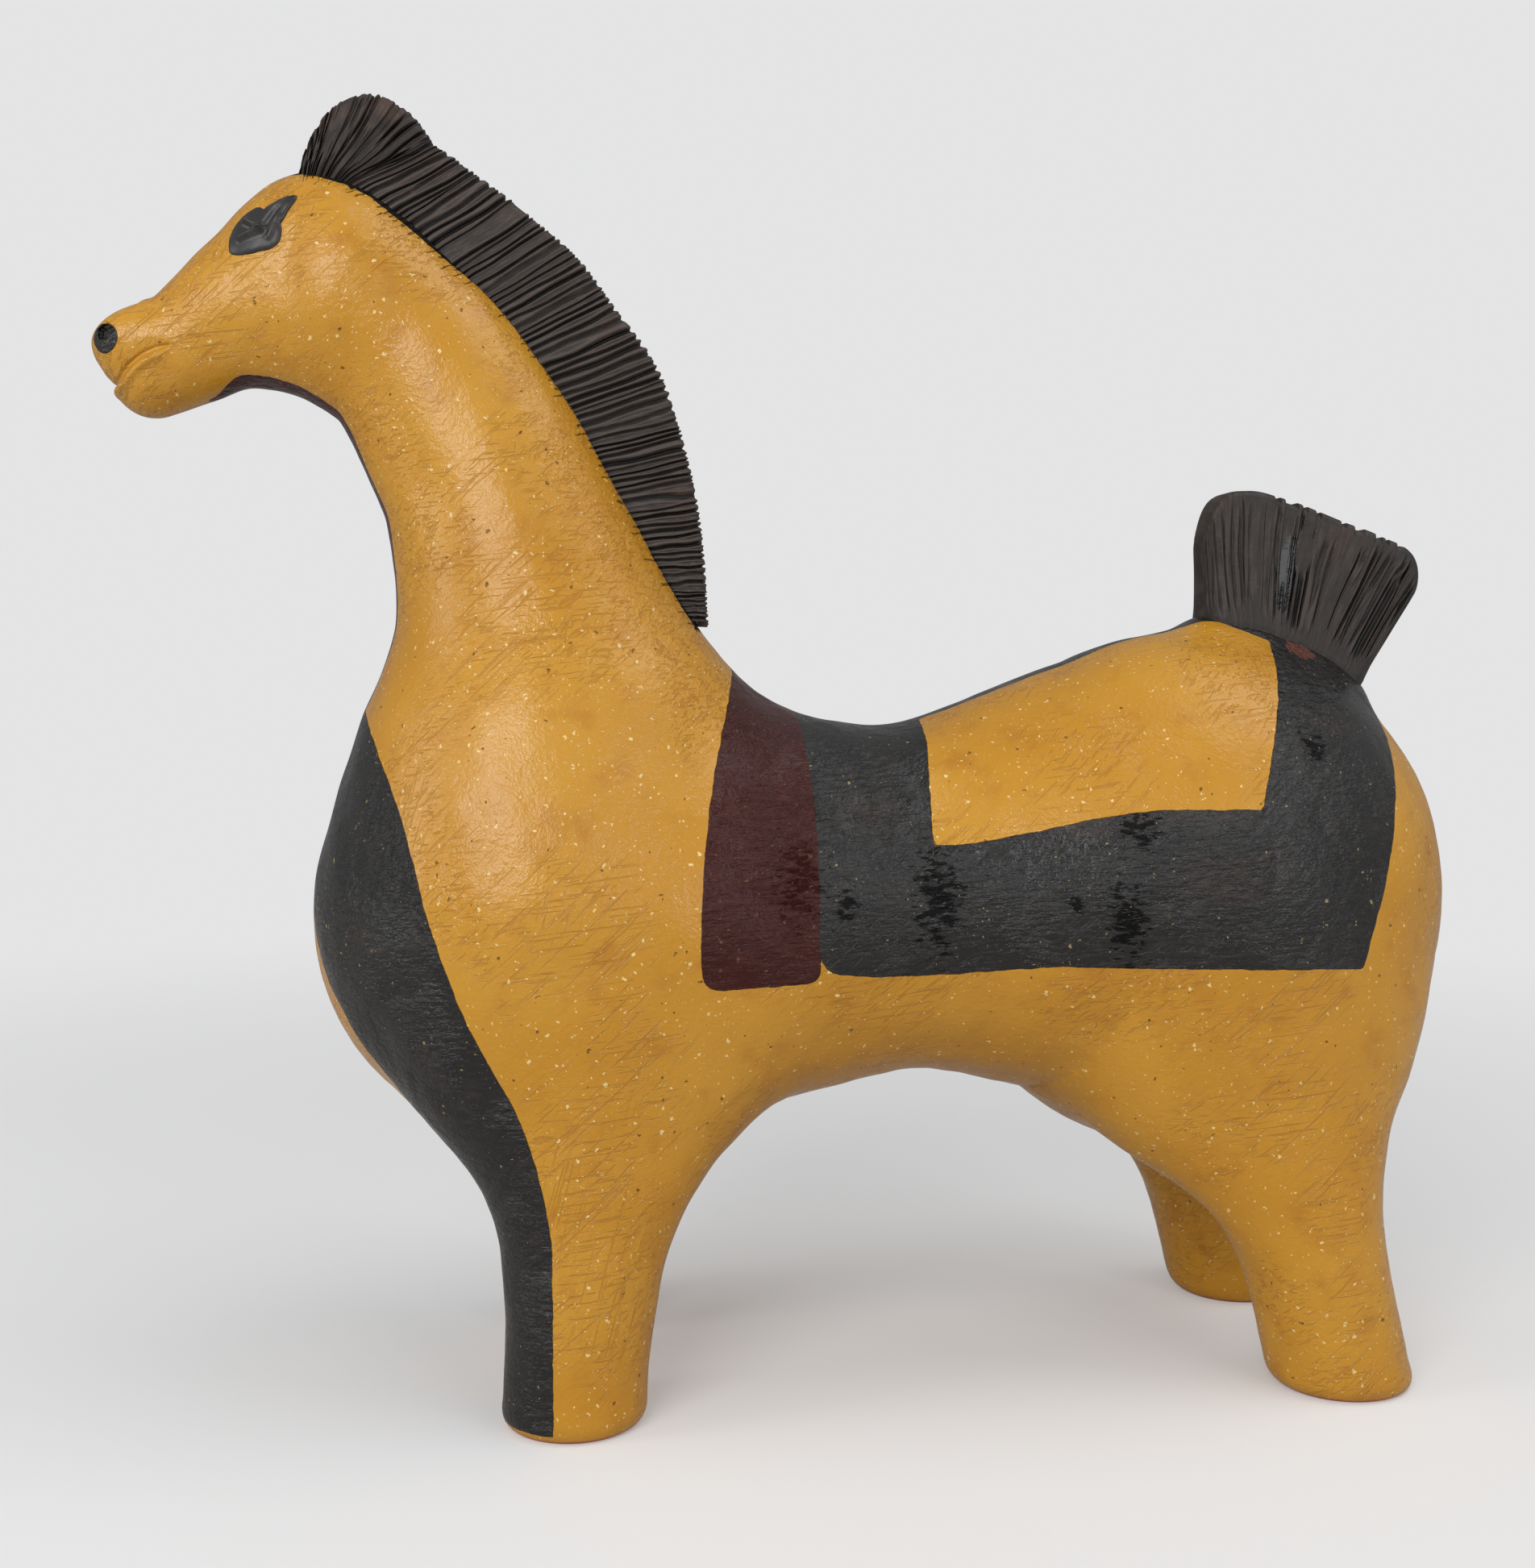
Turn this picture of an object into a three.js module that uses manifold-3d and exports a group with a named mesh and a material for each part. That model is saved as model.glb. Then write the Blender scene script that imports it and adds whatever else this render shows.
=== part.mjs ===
// Standing horse figurine in hand-built clay: trunk, neck, head and four legs are rolls of clay that are
// luted end to end and smoothed into one another, with a combed mane, forelock and fan tail pressed on top
// and two pinched eye pellets. It faces -X, stands on z = 0, and its left side is at -Y. Millimetres.
import * as THREE from "three";
import { mergeVertices } from "three/addons/utils/BufferGeometryUtils.js";
import Module from "manifold-3d";

// Stance: where the feet stand, the height of the trunk's axis, where its ends and the neck's foot lie from
// the feet, and how far the trunk's axis falls towards the shoulder and lifts towards the loin.
const LEG_SPACING = 170;
const LEG_TRACK = 63;
const TRUNK_HEIGHT = 106;
const CHEST_AHEAD = 4.8;
const RUMP_AHEAD = 27.4;
const SHOULDER_FALL = 1.6;
const LOIN_LIFT = 3.1;
const NECK_FOOT_AHEAD = 2.2;
const NECK_FOOT_RISE = 37.4;

// Seams where the pieces were luted together, and the gap that each seam and each pressed-on piece keeps.
const LEG_SEAM_HEIGHT = 43;
const NECK_SEAM_RISE = 50;
const HEAD_SEAM_AHEAD = 53;
const SEAM_GAP = 0.3;

// Trunk: half depth and half width at the chest, shoulder, waist, loin and rump.
const CHEST_DEEP = 51.1;
const CHEST_WIDE = 48.5;
const SHOULDER_DEEP = 45.9;
const SHOULDER_WIDE = 46;
const WAIST_DEEP = 39.5;
const WAIST_WIDE = 42.5;
const LOIN_DEEP = 51.9;
const LOIN_WIDE = 48.5;
const RUMP_DEEP = 59.8;
const RUMP_WIDE = 51;

// Neck: how far its top rises and leans forward, and its half depth and half width from foot to poll.
const NECK_RISE = 90.2;
const NECK_LEAN = 43.7;
const NECK_FOOT_DEEP = 38.9;
const NECK_FOOT_WIDE = 37;
const NECK_LOW_DEEP = 31.05;
const NECK_LOW_WIDE = 29;
const NECK_MID_DEEP = 25.55;
const NECK_MID_WIDE = 23.5;
const NECK_HIGH_DEEP = 21.75;
const NECK_HIGH_WIDE = 18.6;
const NECK_TOP_DEEP = 20.4;
const NECK_TOP_WIDE = 17;

// Head: its length from poll to muzzle, the brow's rise over the neck's top, its fall from there to the
// muzzle, its half depths and half widths, and the flat of the nose: how far it lies from the middle of the
// muzzle and how far it tips forward, in degrees.
const HEAD_LENGTH = 45.9;
const BROW_RISE = 17.4;
const HEAD_FALL = 23.5;
const POLL_DEEP = 15.8;
const POLL_WIDE = 15;
const BROW_DEEP = 13.2;
const BROW_WIDE = 12.5;
const CHEEK_DEEP = 13.1;
const CHEEK_WIDE = 12.4;
const MUZZLE_DEEP = 9;
const MUZZLE_WIDE = 9.6;
const CHIN_DEEP = 9.1;
const CHIN_WIDE = 9.4;
const CHIN_BACK = 4.1;
const CHIN_DROP = 6.6;
const NOSE_FLAT = 7.3;
const NOSE_TIP = 31.6;

// Legs: half depth and half width at the foot, the shin, the seam and the thigh that melts into the trunk.
const FORE_FOOT_DEEP = 15.4;
const FORE_SHIN_DEEP = 16.4;
const FORE_SEAM_DEEP = 18.6;
const FORE_THIGH_DEEP = 32.9;
const FORE_LEG_SLANT = -5;
const HIND_FOOT_DEEP = 15.5;
const HIND_SHIN_DEEP = 15.9;
const HIND_SEAM_DEEP = 18.6;
const HIND_THIGH_DEEP = 34;
const HIND_LEG_SLANT = 18.6;
const FOOT_WIDE = 14.8;
const SHIN_WIDE = 15.4;
const SEAM_WIDE = 15.8;
const THIGH_WIDE = 20;
const THIGH_TUCK = 6.5;
const THIGH_RISE = 31;
const FOOT_ROUND = 5;

// How softly the luted clay runs from one roll into the next.
const NECK_BLEND = 20;
const HEAD_BLEND = 13;
const LIP_BLEND = 3;
const LEG_BLEND = 16;

// Muzzle: pierced nostrils and the drawn mouth line, placed from the middle of the muzzle.
const NOSTRIL_BORE = 3.4;
const NOSTRIL_DEPTH = 9;
const NOSTRIL_AHEAD = 4.1;
const NOSTRIL_RISE = 1.4;
const MOUTH_WIDTH = 1.4;
const MOUTH_DEPTH = 1.8;
const MOUTH_BACK = 9;
const MOUTH_DROP = 1.6;
const MOUTH_TILT = 27.4;

// Mane and forelock: where they start and end behind the fore feet, their rise, thickness and combing.
const FORELOCK_FRONT = -56.5;
const FORELOCK_BACK = -43;
const MANE_BACK = 29;
const MANE_RISE = 19.8;
const FORELOCK_RISE = 20.6;
const MANE_BASE_THICK = 15;
const MANE_RIM_THICK = 8;
const MANE_GROOVES = 40;
const FORELOCK_GROOVES = 11;
const GROOVE_DEPTH = 1.1;
const NOTCH_DEPTH = 0.9;
const CREST_SINK = 5;

// Tail: a fan that stands on the rump from ahead of the hind feet to behind them.
const TAIL_FRONT = -24;
const TAIL_BACK = 14.8;
const TAIL_RISE = 34.6;
const TAIL_BASE_THICK = 18;
const TAIL_RIM_THICK = 10;
const TAIL_GROOVES = 20;

// Eyes: pinched pellets with a point drawn back and up, placed from the top of the neck.
const EYE_AHEAD = 17.7;
const EYE_RISE = 16.7;
const EYE_LONG = 12;
const EYE_TALL = 12;
const EYE_STAND = 1.8;

// Size of the facets on the trunk and neck and on the head, and the sides of a leg.
const BODY_FACET = 8;
const HEAD_FACET = 3.9;
const LEG_SIDES = 22;

const wasm = await Module();
wasm.setup();

const foreX = -LEG_SPACING / 2;
const hindX = LEG_SPACING / 2;
const neckFootX = foreX - NECK_FOOT_AHEAD;
const neckFootZ = TRUNK_HEIGHT + NECK_FOOT_RISE;
const pollX = neckFootX - NECK_LEAN;
const pollZ = neckFootZ + NECK_RISE;
const browZ = pollZ + BROW_RISE;
const muzzleX = pollX - HEAD_LENGTH;
const muzzleZ = browZ - HEAD_FALL;

// One row of a roll: where its middle is, its half depth in the side view and its half width.
function station(x, z, deep, wide, y = 0) {
  return [x, z, deep, wide, y];
}

// Smooth rows between the stations of a roll, on a Catmull-Rom curve through them.
function smoothRows(stations, steps = 4) {
  const last = stations.length - 1;
  const beyond = (a, b) => a.map((v, i) => 2 * v - b[i]);
  const rows = [beyond(stations[0], stations[1]), ...stations, beyond(stations[last], stations[last - 1])];
  const made = [];
  for (let i = 1; i <= last; i++)
    for (let s = 0; s < steps; s++) {
      const t = s / steps;
      const [a, b, c, d] = rows.slice(i - 1, i + 3);
      made.push(b.map((v, n) => {
        const cubic = -a[n] + 3 * v - 3 * c[n] + d[n];
        const square = 2 * a[n] - 5 * v + 4 * c[n] - d[n];
        return v + 0.5 * t * (c[n] - a[n] + t * (square + t * cubic));
      }));
    }
  made.push(stations[last]);
  return made;
}

// The trunk's stations follow the feet, and its loin and rump ride a little above its axis.
const waistX = foreX + 0.456 * LEG_SPACING;
const trunkRows = smoothRows([
  station(foreX - CHEST_AHEAD, TRUNK_HEIGHT - SHOULDER_FALL, CHEST_DEEP, CHEST_WIDE),
  station(foreX + 0.176 * LEG_SPACING, TRUNK_HEIGHT - SHOULDER_FALL, SHOULDER_DEEP, SHOULDER_WIDE),
  station(waistX, TRUNK_HEIGHT + 0.13 * LOIN_LIFT, WAIST_DEEP, WAIST_WIDE),
  station(hindX - 0.255 * LEG_SPACING, TRUNK_HEIGHT + LOIN_LIFT, LOIN_DEEP, LOIN_WIDE),
  station(hindX - RUMP_AHEAD, TRUNK_HEIGHT + 0.26 * LOIN_LIFT, RUMP_DEEP, RUMP_WIDE),
]);

// The neck climbs from its foot between the shoulders to the poll, leaning forward faster as it rises.
const neckAt = (lean, rise, deep, wide) =>
  station(neckFootX - lean * NECK_LEAN, neckFootZ + rise * NECK_RISE, deep, wide);
const neckRows = smoothRows([
  neckAt(0, 0, NECK_FOOT_DEEP, NECK_FOOT_WIDE),
  neckAt(0.095, 0.256, NECK_LOW_DEEP, NECK_LOW_WIDE),
  neckAt(0.258, 0.535, NECK_MID_DEEP, NECK_MID_WIDE),
  neckAt(0.41, 0.7, (NECK_MID_DEEP + NECK_HIGH_DEEP) / 2, (NECK_MID_WIDE + NECK_HIGH_WIDE) / 2),
  neckAt(0.675, 0.905, NECK_HIGH_DEEP, NECK_HIGH_WIDE),
  neckAt(0.986, 1.01, NECK_TOP_DEEP, NECK_TOP_WIDE),
]);

// The head starts inside the poll, rises to the brow and falls through the cheek to the muzzle. The chin is a
// lobe of its own below the lips.
const cheekX = pollX - 0.496 * HEAD_LENGTH;
const noseX = pollX - 0.776 * HEAD_LENGTH;
const headRows = smoothRows([
  station(pollX, pollZ + 0.483 * BROW_RISE, POLL_DEEP, POLL_WIDE),
  station(pollX - 0.175 * HEAD_LENGTH, browZ, BROW_DEEP, BROW_WIDE),
  station(cheekX, browZ - 0.579 * HEAD_FALL, CHEEK_DEEP, CHEEK_WIDE),
  station(noseX, muzzleZ + 0.14 * MUZZLE_DEEP, 0.473 * (MUZZLE_DEEP + CHEEK_DEEP), 1.06 * MUZZLE_WIDE),
  station(muzzleX, muzzleZ, MUZZLE_DEEP, MUZZLE_WIDE),
]);
const chinX = muzzleX + CHIN_BACK;
const chinZ = muzzleZ - CHIN_DROP;
const chinRows = smoothRows([
  station(cheekX, browZ - 0.779 * HEAD_FALL, 0.947 * CHEEK_DEEP, 0.92 * CHEEK_WIDE),
  station((cheekX + chinX) / 2, chinZ + 0.64 * CHIN_DROP, 1.09 * CHIN_DEEP, 1.06 * CHIN_WIDE),
  station(chinX, chinZ, CHIN_DEEP, CHIN_WIDE),
]);

// A leg from below the ground to the thigh, with the middle of its foot at x, its slant from foot to thigh
// and its half depths at the foot, the shin, the seam and the thigh.
function legRows(x, slant, [foot, shin, seam, thigh]) {
  const half = LEG_TRACK / 2;
  const top = LEG_SEAM_HEIGHT + THIGH_RISE;
  const at = (z, deep, wide, tuck) => station(x - (slant * z) / top, z, deep, wide, half - tuck * THIGH_TUCK);
  const mix = (a, b, share) => a + (b - a) * share;
  return smoothRows([
    at(-FOOT_ROUND, foot, FOOT_WIDE, 0),
    at(2.4 * FOOT_ROUND, foot, FOOT_WIDE, 0),
    at(0.65 * LEG_SEAM_HEIGHT, shin, SHIN_WIDE, 0.08),
    at(0.98 * LEG_SEAM_HEIGHT, seam, SEAM_WIDE, 0.23),
    at(LEG_SEAM_HEIGHT + 0.42 * THIGH_RISE, mix(seam, thigh, 0.35), mix(SEAM_WIDE, THIGH_WIDE, 0.3), 0.46),
    at(top, thigh, THIGH_WIDE, 1),
  ]);
}
const foreRows = legRows(foreX, FORE_LEG_SLANT, [
  FORE_FOOT_DEEP, FORE_SHIN_DEEP, FORE_SEAM_DEEP, FORE_THIGH_DEEP,
]);
const hindRows = legRows(hindX, HIND_LEG_SLANT, [
  HIND_FOOT_DEEP, HIND_SHIN_DEEP, HIND_SEAM_DEEP, HIND_THIGH_DEEP,
]);

// Distance from a point to a roll, about true near its skin and negative inside it.
function roll(rows, x, y, z) {
  let nearest = Infinity;
  for (let i = 1; i < rows.length; i++) {
    const [ax, az, aDeep, aWide, ay] = rows[i - 1];
    const [bx, bz, bDeep, bWide, by] = rows[i];
    const dx = bx - ax;
    const dz = bz - az;
    const along = ((x - ax) * dx + (z - az) * dz) / (dx * dx + dz * dz);
    const t = Math.min(Math.max(along, 0), 1);
    const deep = aDeep + (bDeep - aDeep) * t;
    const wide = aWide + (bWide - aWide) * t;
    const sideways = ((y - ay - (by - ay) * t) * deep) / wide;
    nearest = Math.min(nearest, Math.hypot(x - ax - dx * t, z - az - dz * t, sideways) - deep);
  }
  return nearest;
}

// The smaller of two distances, rounded where they meet over a width k.
function smoothMin(a, b, k) {
  const h = Math.max(k - Math.abs(a - b), 0) / k;
  return Math.min(a, b) - (h * h * k) / 4;
}

// Distance past the flat of the nose, which ends behind the middle of the muzzle.
function noseFlat(x, z) {
  const tip = THREE.MathUtils.degToRad(NOSE_TIP);
  const past = (z - muzzleZ) * Math.cos(tip) - (x - muzzleX) * Math.sin(tip) - NOSE_FLAT;
  return past - 1.2 * Math.max(x - muzzleX - 0.19 * MUZZLE_DEEP, 0);
}

// Distance to the whole clay body, with its four soles rounded off just below the ground.
function clay(x, y, z) {
  const side = Math.abs(y);
  const trunk = smoothMin(roll(trunkRows, x, side, z), roll(neckRows, x, side, z), NECK_BLEND);
  const nose = -smoothMin(-roll(headRows, x, side, z), -noseFlat(x, z), LIP_BLEND);
  const face = smoothMin(nose, roll(chinRows, x, side, z), LIP_BLEND);
  const body = smoothMin(trunk, face, HEAD_BLEND);
  const legs = Math.min(roll(foreRows, x, side, z), roll(hindRows, x, side, z));
  return -smoothMin(-smoothMin(body, legs, LEG_BLEND), z + FOOT_ROUND / 10, FOOT_ROUND);
}

// The direction straight out of the clay at a point.
function outward(x, y, z) {
  const e = 0.05;
  return new THREE.Vector3(
    clay(x + e, y, z) - clay(x - e, y, z),
    clay(x, y + e, z) - clay(x, y - e, z),
    clay(x, y, z + e) - clay(x, y, z - e),
  ).normalize();
}

// The skin of the clay inside a box, as points and triangles: a net with one knot in each grid cell that the
// skin passes through, every knot then drawn on to the skin. The box's own sides close it.
function skin(low, high, cell) {
  const counts = [0, 1, 2].map((n) => Math.ceil((high[n] - low[n]) / cell) + 3);
  const start = [0, 1, 2].map((n) => (low[n] + high[n]) / 2 - ((counts[n] - 1) * cell) / 2);
  const boxed = (x, y, z) => Math.max(
    clay(x, y, z), low[0] - x, x - high[0], low[1] - y, y - high[1], low[2] - z, z - high[2],
  );
  const [nx, ny, nz] = counts;
  const at = (i, j, k) => (k * ny + j) * nx + i;
  const values = new Float64Array(nx * ny * nz);
  for (let k = 0; k < nz; k++)
    for (let j = 0; j < ny; j++)
      for (let i = 0; i < nx; i++)
        values[at(i, j, k)] = boxed(start[0] + i * cell, start[1] + j * cell, start[2] + k * cell);
  const steps = [1, nx, nx * ny];
  const corners = [0, 1, 2, 3, 4, 5, 6, 7].map((c) => [c & 1, (c >> 1) & 1, (c >> 2) & 1]);
  const knot = new Int32Array(values.length).fill(-1);
  const points = [];
  for (let k = 0; k + 1 < nz; k++)
    for (let j = 0; j + 1 < ny; j++)
      for (let i = 0; i + 1 < nx; i++) {
        const sum = [0, 0, 0];
        let crossings = 0;
        for (const [ci, cj, ck] of corners)
          for (let axis = 0; axis < 3; axis++) {
            if ([ci, cj, ck][axis]) continue;
            const from = at(i + ci, j + cj, k + ck);
            const a = values[from];
            const b = values[from + steps[axis]];
            if (a < 0 === b < 0) continue;
            const place = [ci, cj, ck];
            place[axis] += a / (a - b);
            place.forEach((v, n) => (sum[n] += v));
            crossings++;
          }
        if (!crossings) continue;
        knot[at(i, j, k)] = points.length;
        points.push(drawnToSkin([i, j, k].map((v, n) => start[n] + (v + sum[n] / crossings) * cell), boxed));
      }
  const faces = [];
  const quad = (a, b, c, d) => {
    const far = (p, q) => Math.hypot(...points[p].map((v, n) => v - points[q][n]));
    if (far(a, c) < far(b, d)) faces.push([a, b, c], [a, c, d]);
    else faces.push([a, b, d], [b, c, d]);
  };
  for (let k = 1; k + 1 < nz; k++)
    for (let j = 1; j + 1 < ny; j++)
      for (let i = 1; i + 1 < nx; i++)
        for (let axis = 0; axis < 3; axis++) {
          const here = at(i, j, k);
          const inside = values[here] < 0;
          if (inside === values[here + steps[axis]] < 0) continue;
          const u = steps[(axis + 1) % 3];
          const v = steps[(axis + 2) % 3];
          const ring = [here - u - v, here - v, here, here - u].map((n) => knot[n]);
          quad(...(inside ? ring : ring.reverse()));
        }
  return { points, faces };
}

// A point moved on to the zero of a distance in two short steps, straight out or without leaving its plane.
function drawnToSkin(point, distance, heldAxis = -1) {
  const e = 0.01;
  let p = point;
  for (let step = 0; step < 2; step++) {
    const d = distance(...p);
    const slope = [0, 1, 2].map((n) => {
      if (n === heldAxis) return 0;
      const q = [...p];
      q[n] += e;
      return (distance(...q) - d) / e;
    });
    const square = slope[0] ** 2 + slope[1] ** 2 + slope[2] ** 2;
    p = p.map((v, n) => v - (d * slope[n]) / Math.max(square, 0.2));
  }
  return p;
}

// A cut solid with the edge of one seam drawn on to the skin, so that both sides of the seam match.
function fairSeam(solid, axis, level) {
  const { points, faces } = listsOf(solid);
  const onSeam = (p) => Math.abs(p[axis] - level) < 1e-3 && Math.abs(clay(...p)) < 1;
  return solidFrom(points.map((p) => (onSeam(p) ? drawnToSkin(p, clay, axis) : p)), faces);
}

// Points and triangles as a solid.
function solidFrom(points, faces) {
  return new wasm.Manifold(new wasm.Mesh({
    numProp: 3,
    vertProperties: new Float32Array(points.flat()),
    triVerts: new Uint32Array(faces.flat()),
  }));
}

// A three.js geometry as a solid.
function solidOf(geometry) {
  geometry.deleteAttribute("normal");
  geometry.deleteAttribute("uv");
  const merged = mergeVertices(geometry, 1e-4);
  return new wasm.Manifold(new wasm.Mesh({
    numProp: 3,
    vertProperties: new Float32Array(merged.attributes.position.array),
    triVerts: new Uint32Array(merged.index.array),
  }));
}

// A skin moved straight out by a distance, so that what is cut by it clears the skin by that much.
function puffed({ points, faces }, by) {
  const moved = points.map(([x, y, z]) => {
    const n = outward(x, y, z);
    return [x + n.x * by, y + n.y * by, z + n.z * by];
  });
  return solidFrom(moved, faces);
}

// A block between two corners.
function block(low, high) {
  const size = high.map((v, n) => v - low[n]);
  const middle = high.map((v, n) => (v + low[n]) / 2);
  return solidOf(new THREE.BoxGeometry(...size).translate(...middle));
}

// The top of the clay in the middle plane at x, above a height.
function crestHeight(x, above) {
  let step = 2;
  let z = topZ;
  while (z > above && clay(x, 0, z) > 0) z -= step;
  for (let i = 0; i < 24; i++) {
    step /= 2;
    z += clay(x, 0, z) > 0 ? -step : step;
  }
  return z;
}

// A value read from evenly spaced ones, for t from 0 to 1.
function between(values, t) {
  const place = Math.min(Math.max(t, 0), 1) * (values.length - 1);
  const n = Math.min(Math.floor(place), values.length - 2);
  return values[n] + (values[n + 1] - values[n]) * (place - n);
}

// A crest pressed on to the top of the clay from x0 to x1: a tapering fin whose rulings stand up from the
// clay at the given angles, as high as the given shares of its rise, combed with grooves along every ruling.
function combedCrest({ x0, x1, above, rise, shares, angles, base, rim, grooves }) {
  const profile = [[0, 1], [0.3, 1], [0.65, 1], [0.9, 0.85], [1, 0.35]];
  const points = [];
  const faces = [];
  const rows = 2 * grooves + 1;
  for (let row = 0; row < rows; row++) {
    const t = row / (rows - 1);
    const x = x0 + (x1 - x0) * t;
    const foot = new THREE.Vector2(x, crestHeight(x, above));
    const angle = THREE.MathUtils.degToRad(between(angles, t));
    const up = new THREE.Vector2(Math.cos(angle), Math.sin(angle));
    const cut = row % 2;
    const height = rise * between(shares, t) - cut * NOTCH_DEPTH;
    const edge = 1 - 0.55 * Math.abs(2 * t - 1) ** 12;
    const ring = profile.map(([share, full]) => {
      const along = share ? share * height : -CREST_SINK;
      const groove = share ? cut * GROOVE_DEPTH : 0;
      const half = full * ((edge * (rim + (base - rim) * (1 - share) ** 2)) / 2 - groove);
      return [foot.x + up.x * along, half, foot.y + up.y * along];
    });
    points.push(...ring, ...ring.map(([px, w, pz]) => [px, -w, pz]).reverse());
  }
  const size = 2 * profile.length;
  for (let row = 0; row + 1 < rows; row++)
    for (let n = 0; n < size; n++) {
      const a = row * size + n;
      const b = row * size + ((n + 1) % size);
      faces.push([a, b + size, a + size], [a, b, b + size]);
    }
  const end = (rows - 1) * size;
  for (let n = 1; n + 1 < size; n++) {
    faces.push([0, n + 1, n]);
    faces.push([end, end + n, end + n + 1]);
  }
  return solidFrom(points, faces);
}

// Where a line along Y through (x, z) comes out of the clay on the -Y side.
function flankPoint(x, z) {
  let y = 0;
  let step = CHEST_WIDE;
  for (let i = 0; i < 30; i++) {
    step /= 2;
    if (clay(x, y - step, z) < 0) y -= step;
  }
  return new THREE.Vector3(x, y, z);
}

// A pinched eye pellet on the -Y side of the head: a low dome with three folds and a point drawn back and up.
function eyePellet() {
  const seat = flankPoint(pollX - EYE_AHEAD, pollZ + EYE_RISE);
  const normal = outward(seat.x, seat.y, seat.z);
  const back = new THREE.Vector3(1, 0, 0).projectOnPlane(normal).normalize();
  const up = new THREE.Vector3().crossVectors(normal, back);
  const dome = new THREE.SphereGeometry(1, 24, 6);
  const place = dome.attributes.position;
  for (let i = 0; i < place.count; i++) {
    const p = new THREE.Vector3().fromBufferAttribute(place, i);
    const turn = Math.atan2(-p.z, p.x);
    const reach = Math.hypot(p.x, p.z);
    const point = 0.7 * Math.exp(-(((turn - 0.65) / 0.3) ** 2));
    const folds = 1 + Math.cos(3 * (turn - 0.65)) * reach * (1 - reach);
    const out = new THREE.Vector3()
      .addScaledVector(back, (p.x * (1 + point) * EYE_LONG) / 2)
      .addScaledVector(up, (-p.z * (1 + point) * EYE_TALL) / 2)
      .addScaledVector(normal, p.y * folds * EYE_STAND)
      .add(seat);
    place.setXYZ(i, out.x, out.y, out.z);
  }
  return solidOf(dome);
}

// A solid turned over to the other side of the middle plane.
function mirrored(solid) {
  const { points, faces } = listsOf(solid);
  return solidFrom(points.map(([x, y, z]) => [x, -y, z]), faces.map(([a, b, c]) => [a, c, b]));
}

// The points and triangles of a solid.
function listsOf(solid) {
  const made = solid.getMesh();
  const points = [];
  const faces = [];
  for (let i = 0; i < made.numVert; i++)
    points.push([...made.vertProperties.slice(i * made.numProp, i * made.numProp + 3)]);
  for (let i = 0; i < made.numTri; i++) faces.push([...made.triVerts.slice(3 * i, 3 * i + 3)]);
  return { points, faces };
}

const halfGap = SEAM_GAP / 2;
const neckSeam = TRUNK_HEIGHT + NECK_SEAM_RISE;
const headSeam = foreX - HEAD_SEAM_AHEAD;
const far = 3 * LEG_SPACING;
const sideReach = 1.3 * Math.max(CHEST_WIDE, RUMP_WIDE, LEG_TRACK / 2 + THIGH_WIDE);
const topZ = browZ + 3 * BROW_DEEP;

// The trunk and the neck come from one skin, so their seam on the withers matches by itself.
const bodySkin = skin(
  [Math.min(headSeam - BODY_FACET, foreX - 1.6 * CHEST_DEEP), -sideReach, LEG_SEAM_HEIGHT - BODY_FACET],
  [hindX + 1.4 * RUMP_DEEP, sideReach, topZ],
  BODY_FACET,
);
const body = solidFrom(bodySkin.points, bodySkin.faces);
const legTop = LEG_SEAM_HEIGHT + halfGap;
const ahead = block([-far, -far, neckSeam - halfGap], [waistX, far, far]);
const above = block([-far, -far, legTop], [far, far, far]);
const trunk = fairSeam(body.subtract(ahead).intersect(above), 2, legTop);
const neckEnd = headSeam + halfGap;
const neckRoom = block([neckEnd, -far, neckSeam + halfGap], [waistX, far, far]);
const neck = fairSeam(body.intersect(neckRoom), 0, neckEnd);

// The head carries the drawn mouth line round the muzzle and the two pierced nostrils.
const headSkin = skin(
  [muzzleX - 2 * MUZZLE_DEEP, -2 * POLL_WIDE, muzzleZ - 3 * MUZZLE_DEEP],
  [headSeam + HEAD_FACET, 2 * POLL_WIDE, topZ],
  HEAD_FACET,
);
const lips = solidOf(new THREE.BoxGeometry(4 * MUZZLE_DEEP, 4 * MUZZLE_WIDE, MOUTH_WIDTH)
  .translate(-2 * MUZZLE_DEEP, 0, 0)
  .rotateY(-THREE.MathUtils.degToRad(MOUTH_TILT))
  .translate(muzzleX + MOUTH_BACK, 0, muzzleZ - MOUTH_DROP))
  .subtract(puffed(headSkin, -MOUTH_DEPTH));
const nostrilSeat = flankPoint(muzzleX - NOSTRIL_AHEAD, muzzleZ + NOSTRIL_RISE);
const nostrilLine = outward(nostrilSeat.x, nostrilSeat.y, nostrilSeat.z);
const nostril = solidOf(new THREE.CylinderGeometry(NOSTRIL_BORE / 2, NOSTRIL_BORE / 2, 2 * NOSTRIL_DEPTH, 12)
  .applyQuaternion(new THREE.Quaternion().setFromUnitVectors(new THREE.Vector3(0, 1, 0), nostrilLine))
  .translate(nostrilSeat.x, nostrilSeat.y, nostrilSeat.z));
const headEnd = headSeam - halfGap;
const headRoom = block([-far, -far, 0], [headEnd, far, far]);
const head = fairSeam(solidFrom(headSkin.points, headSkin.faces).intersect(headRoom), 0, headEnd)
  .subtract(lips)
  .subtract(nostril)
  .subtract(mirrored(nostril));

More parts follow.
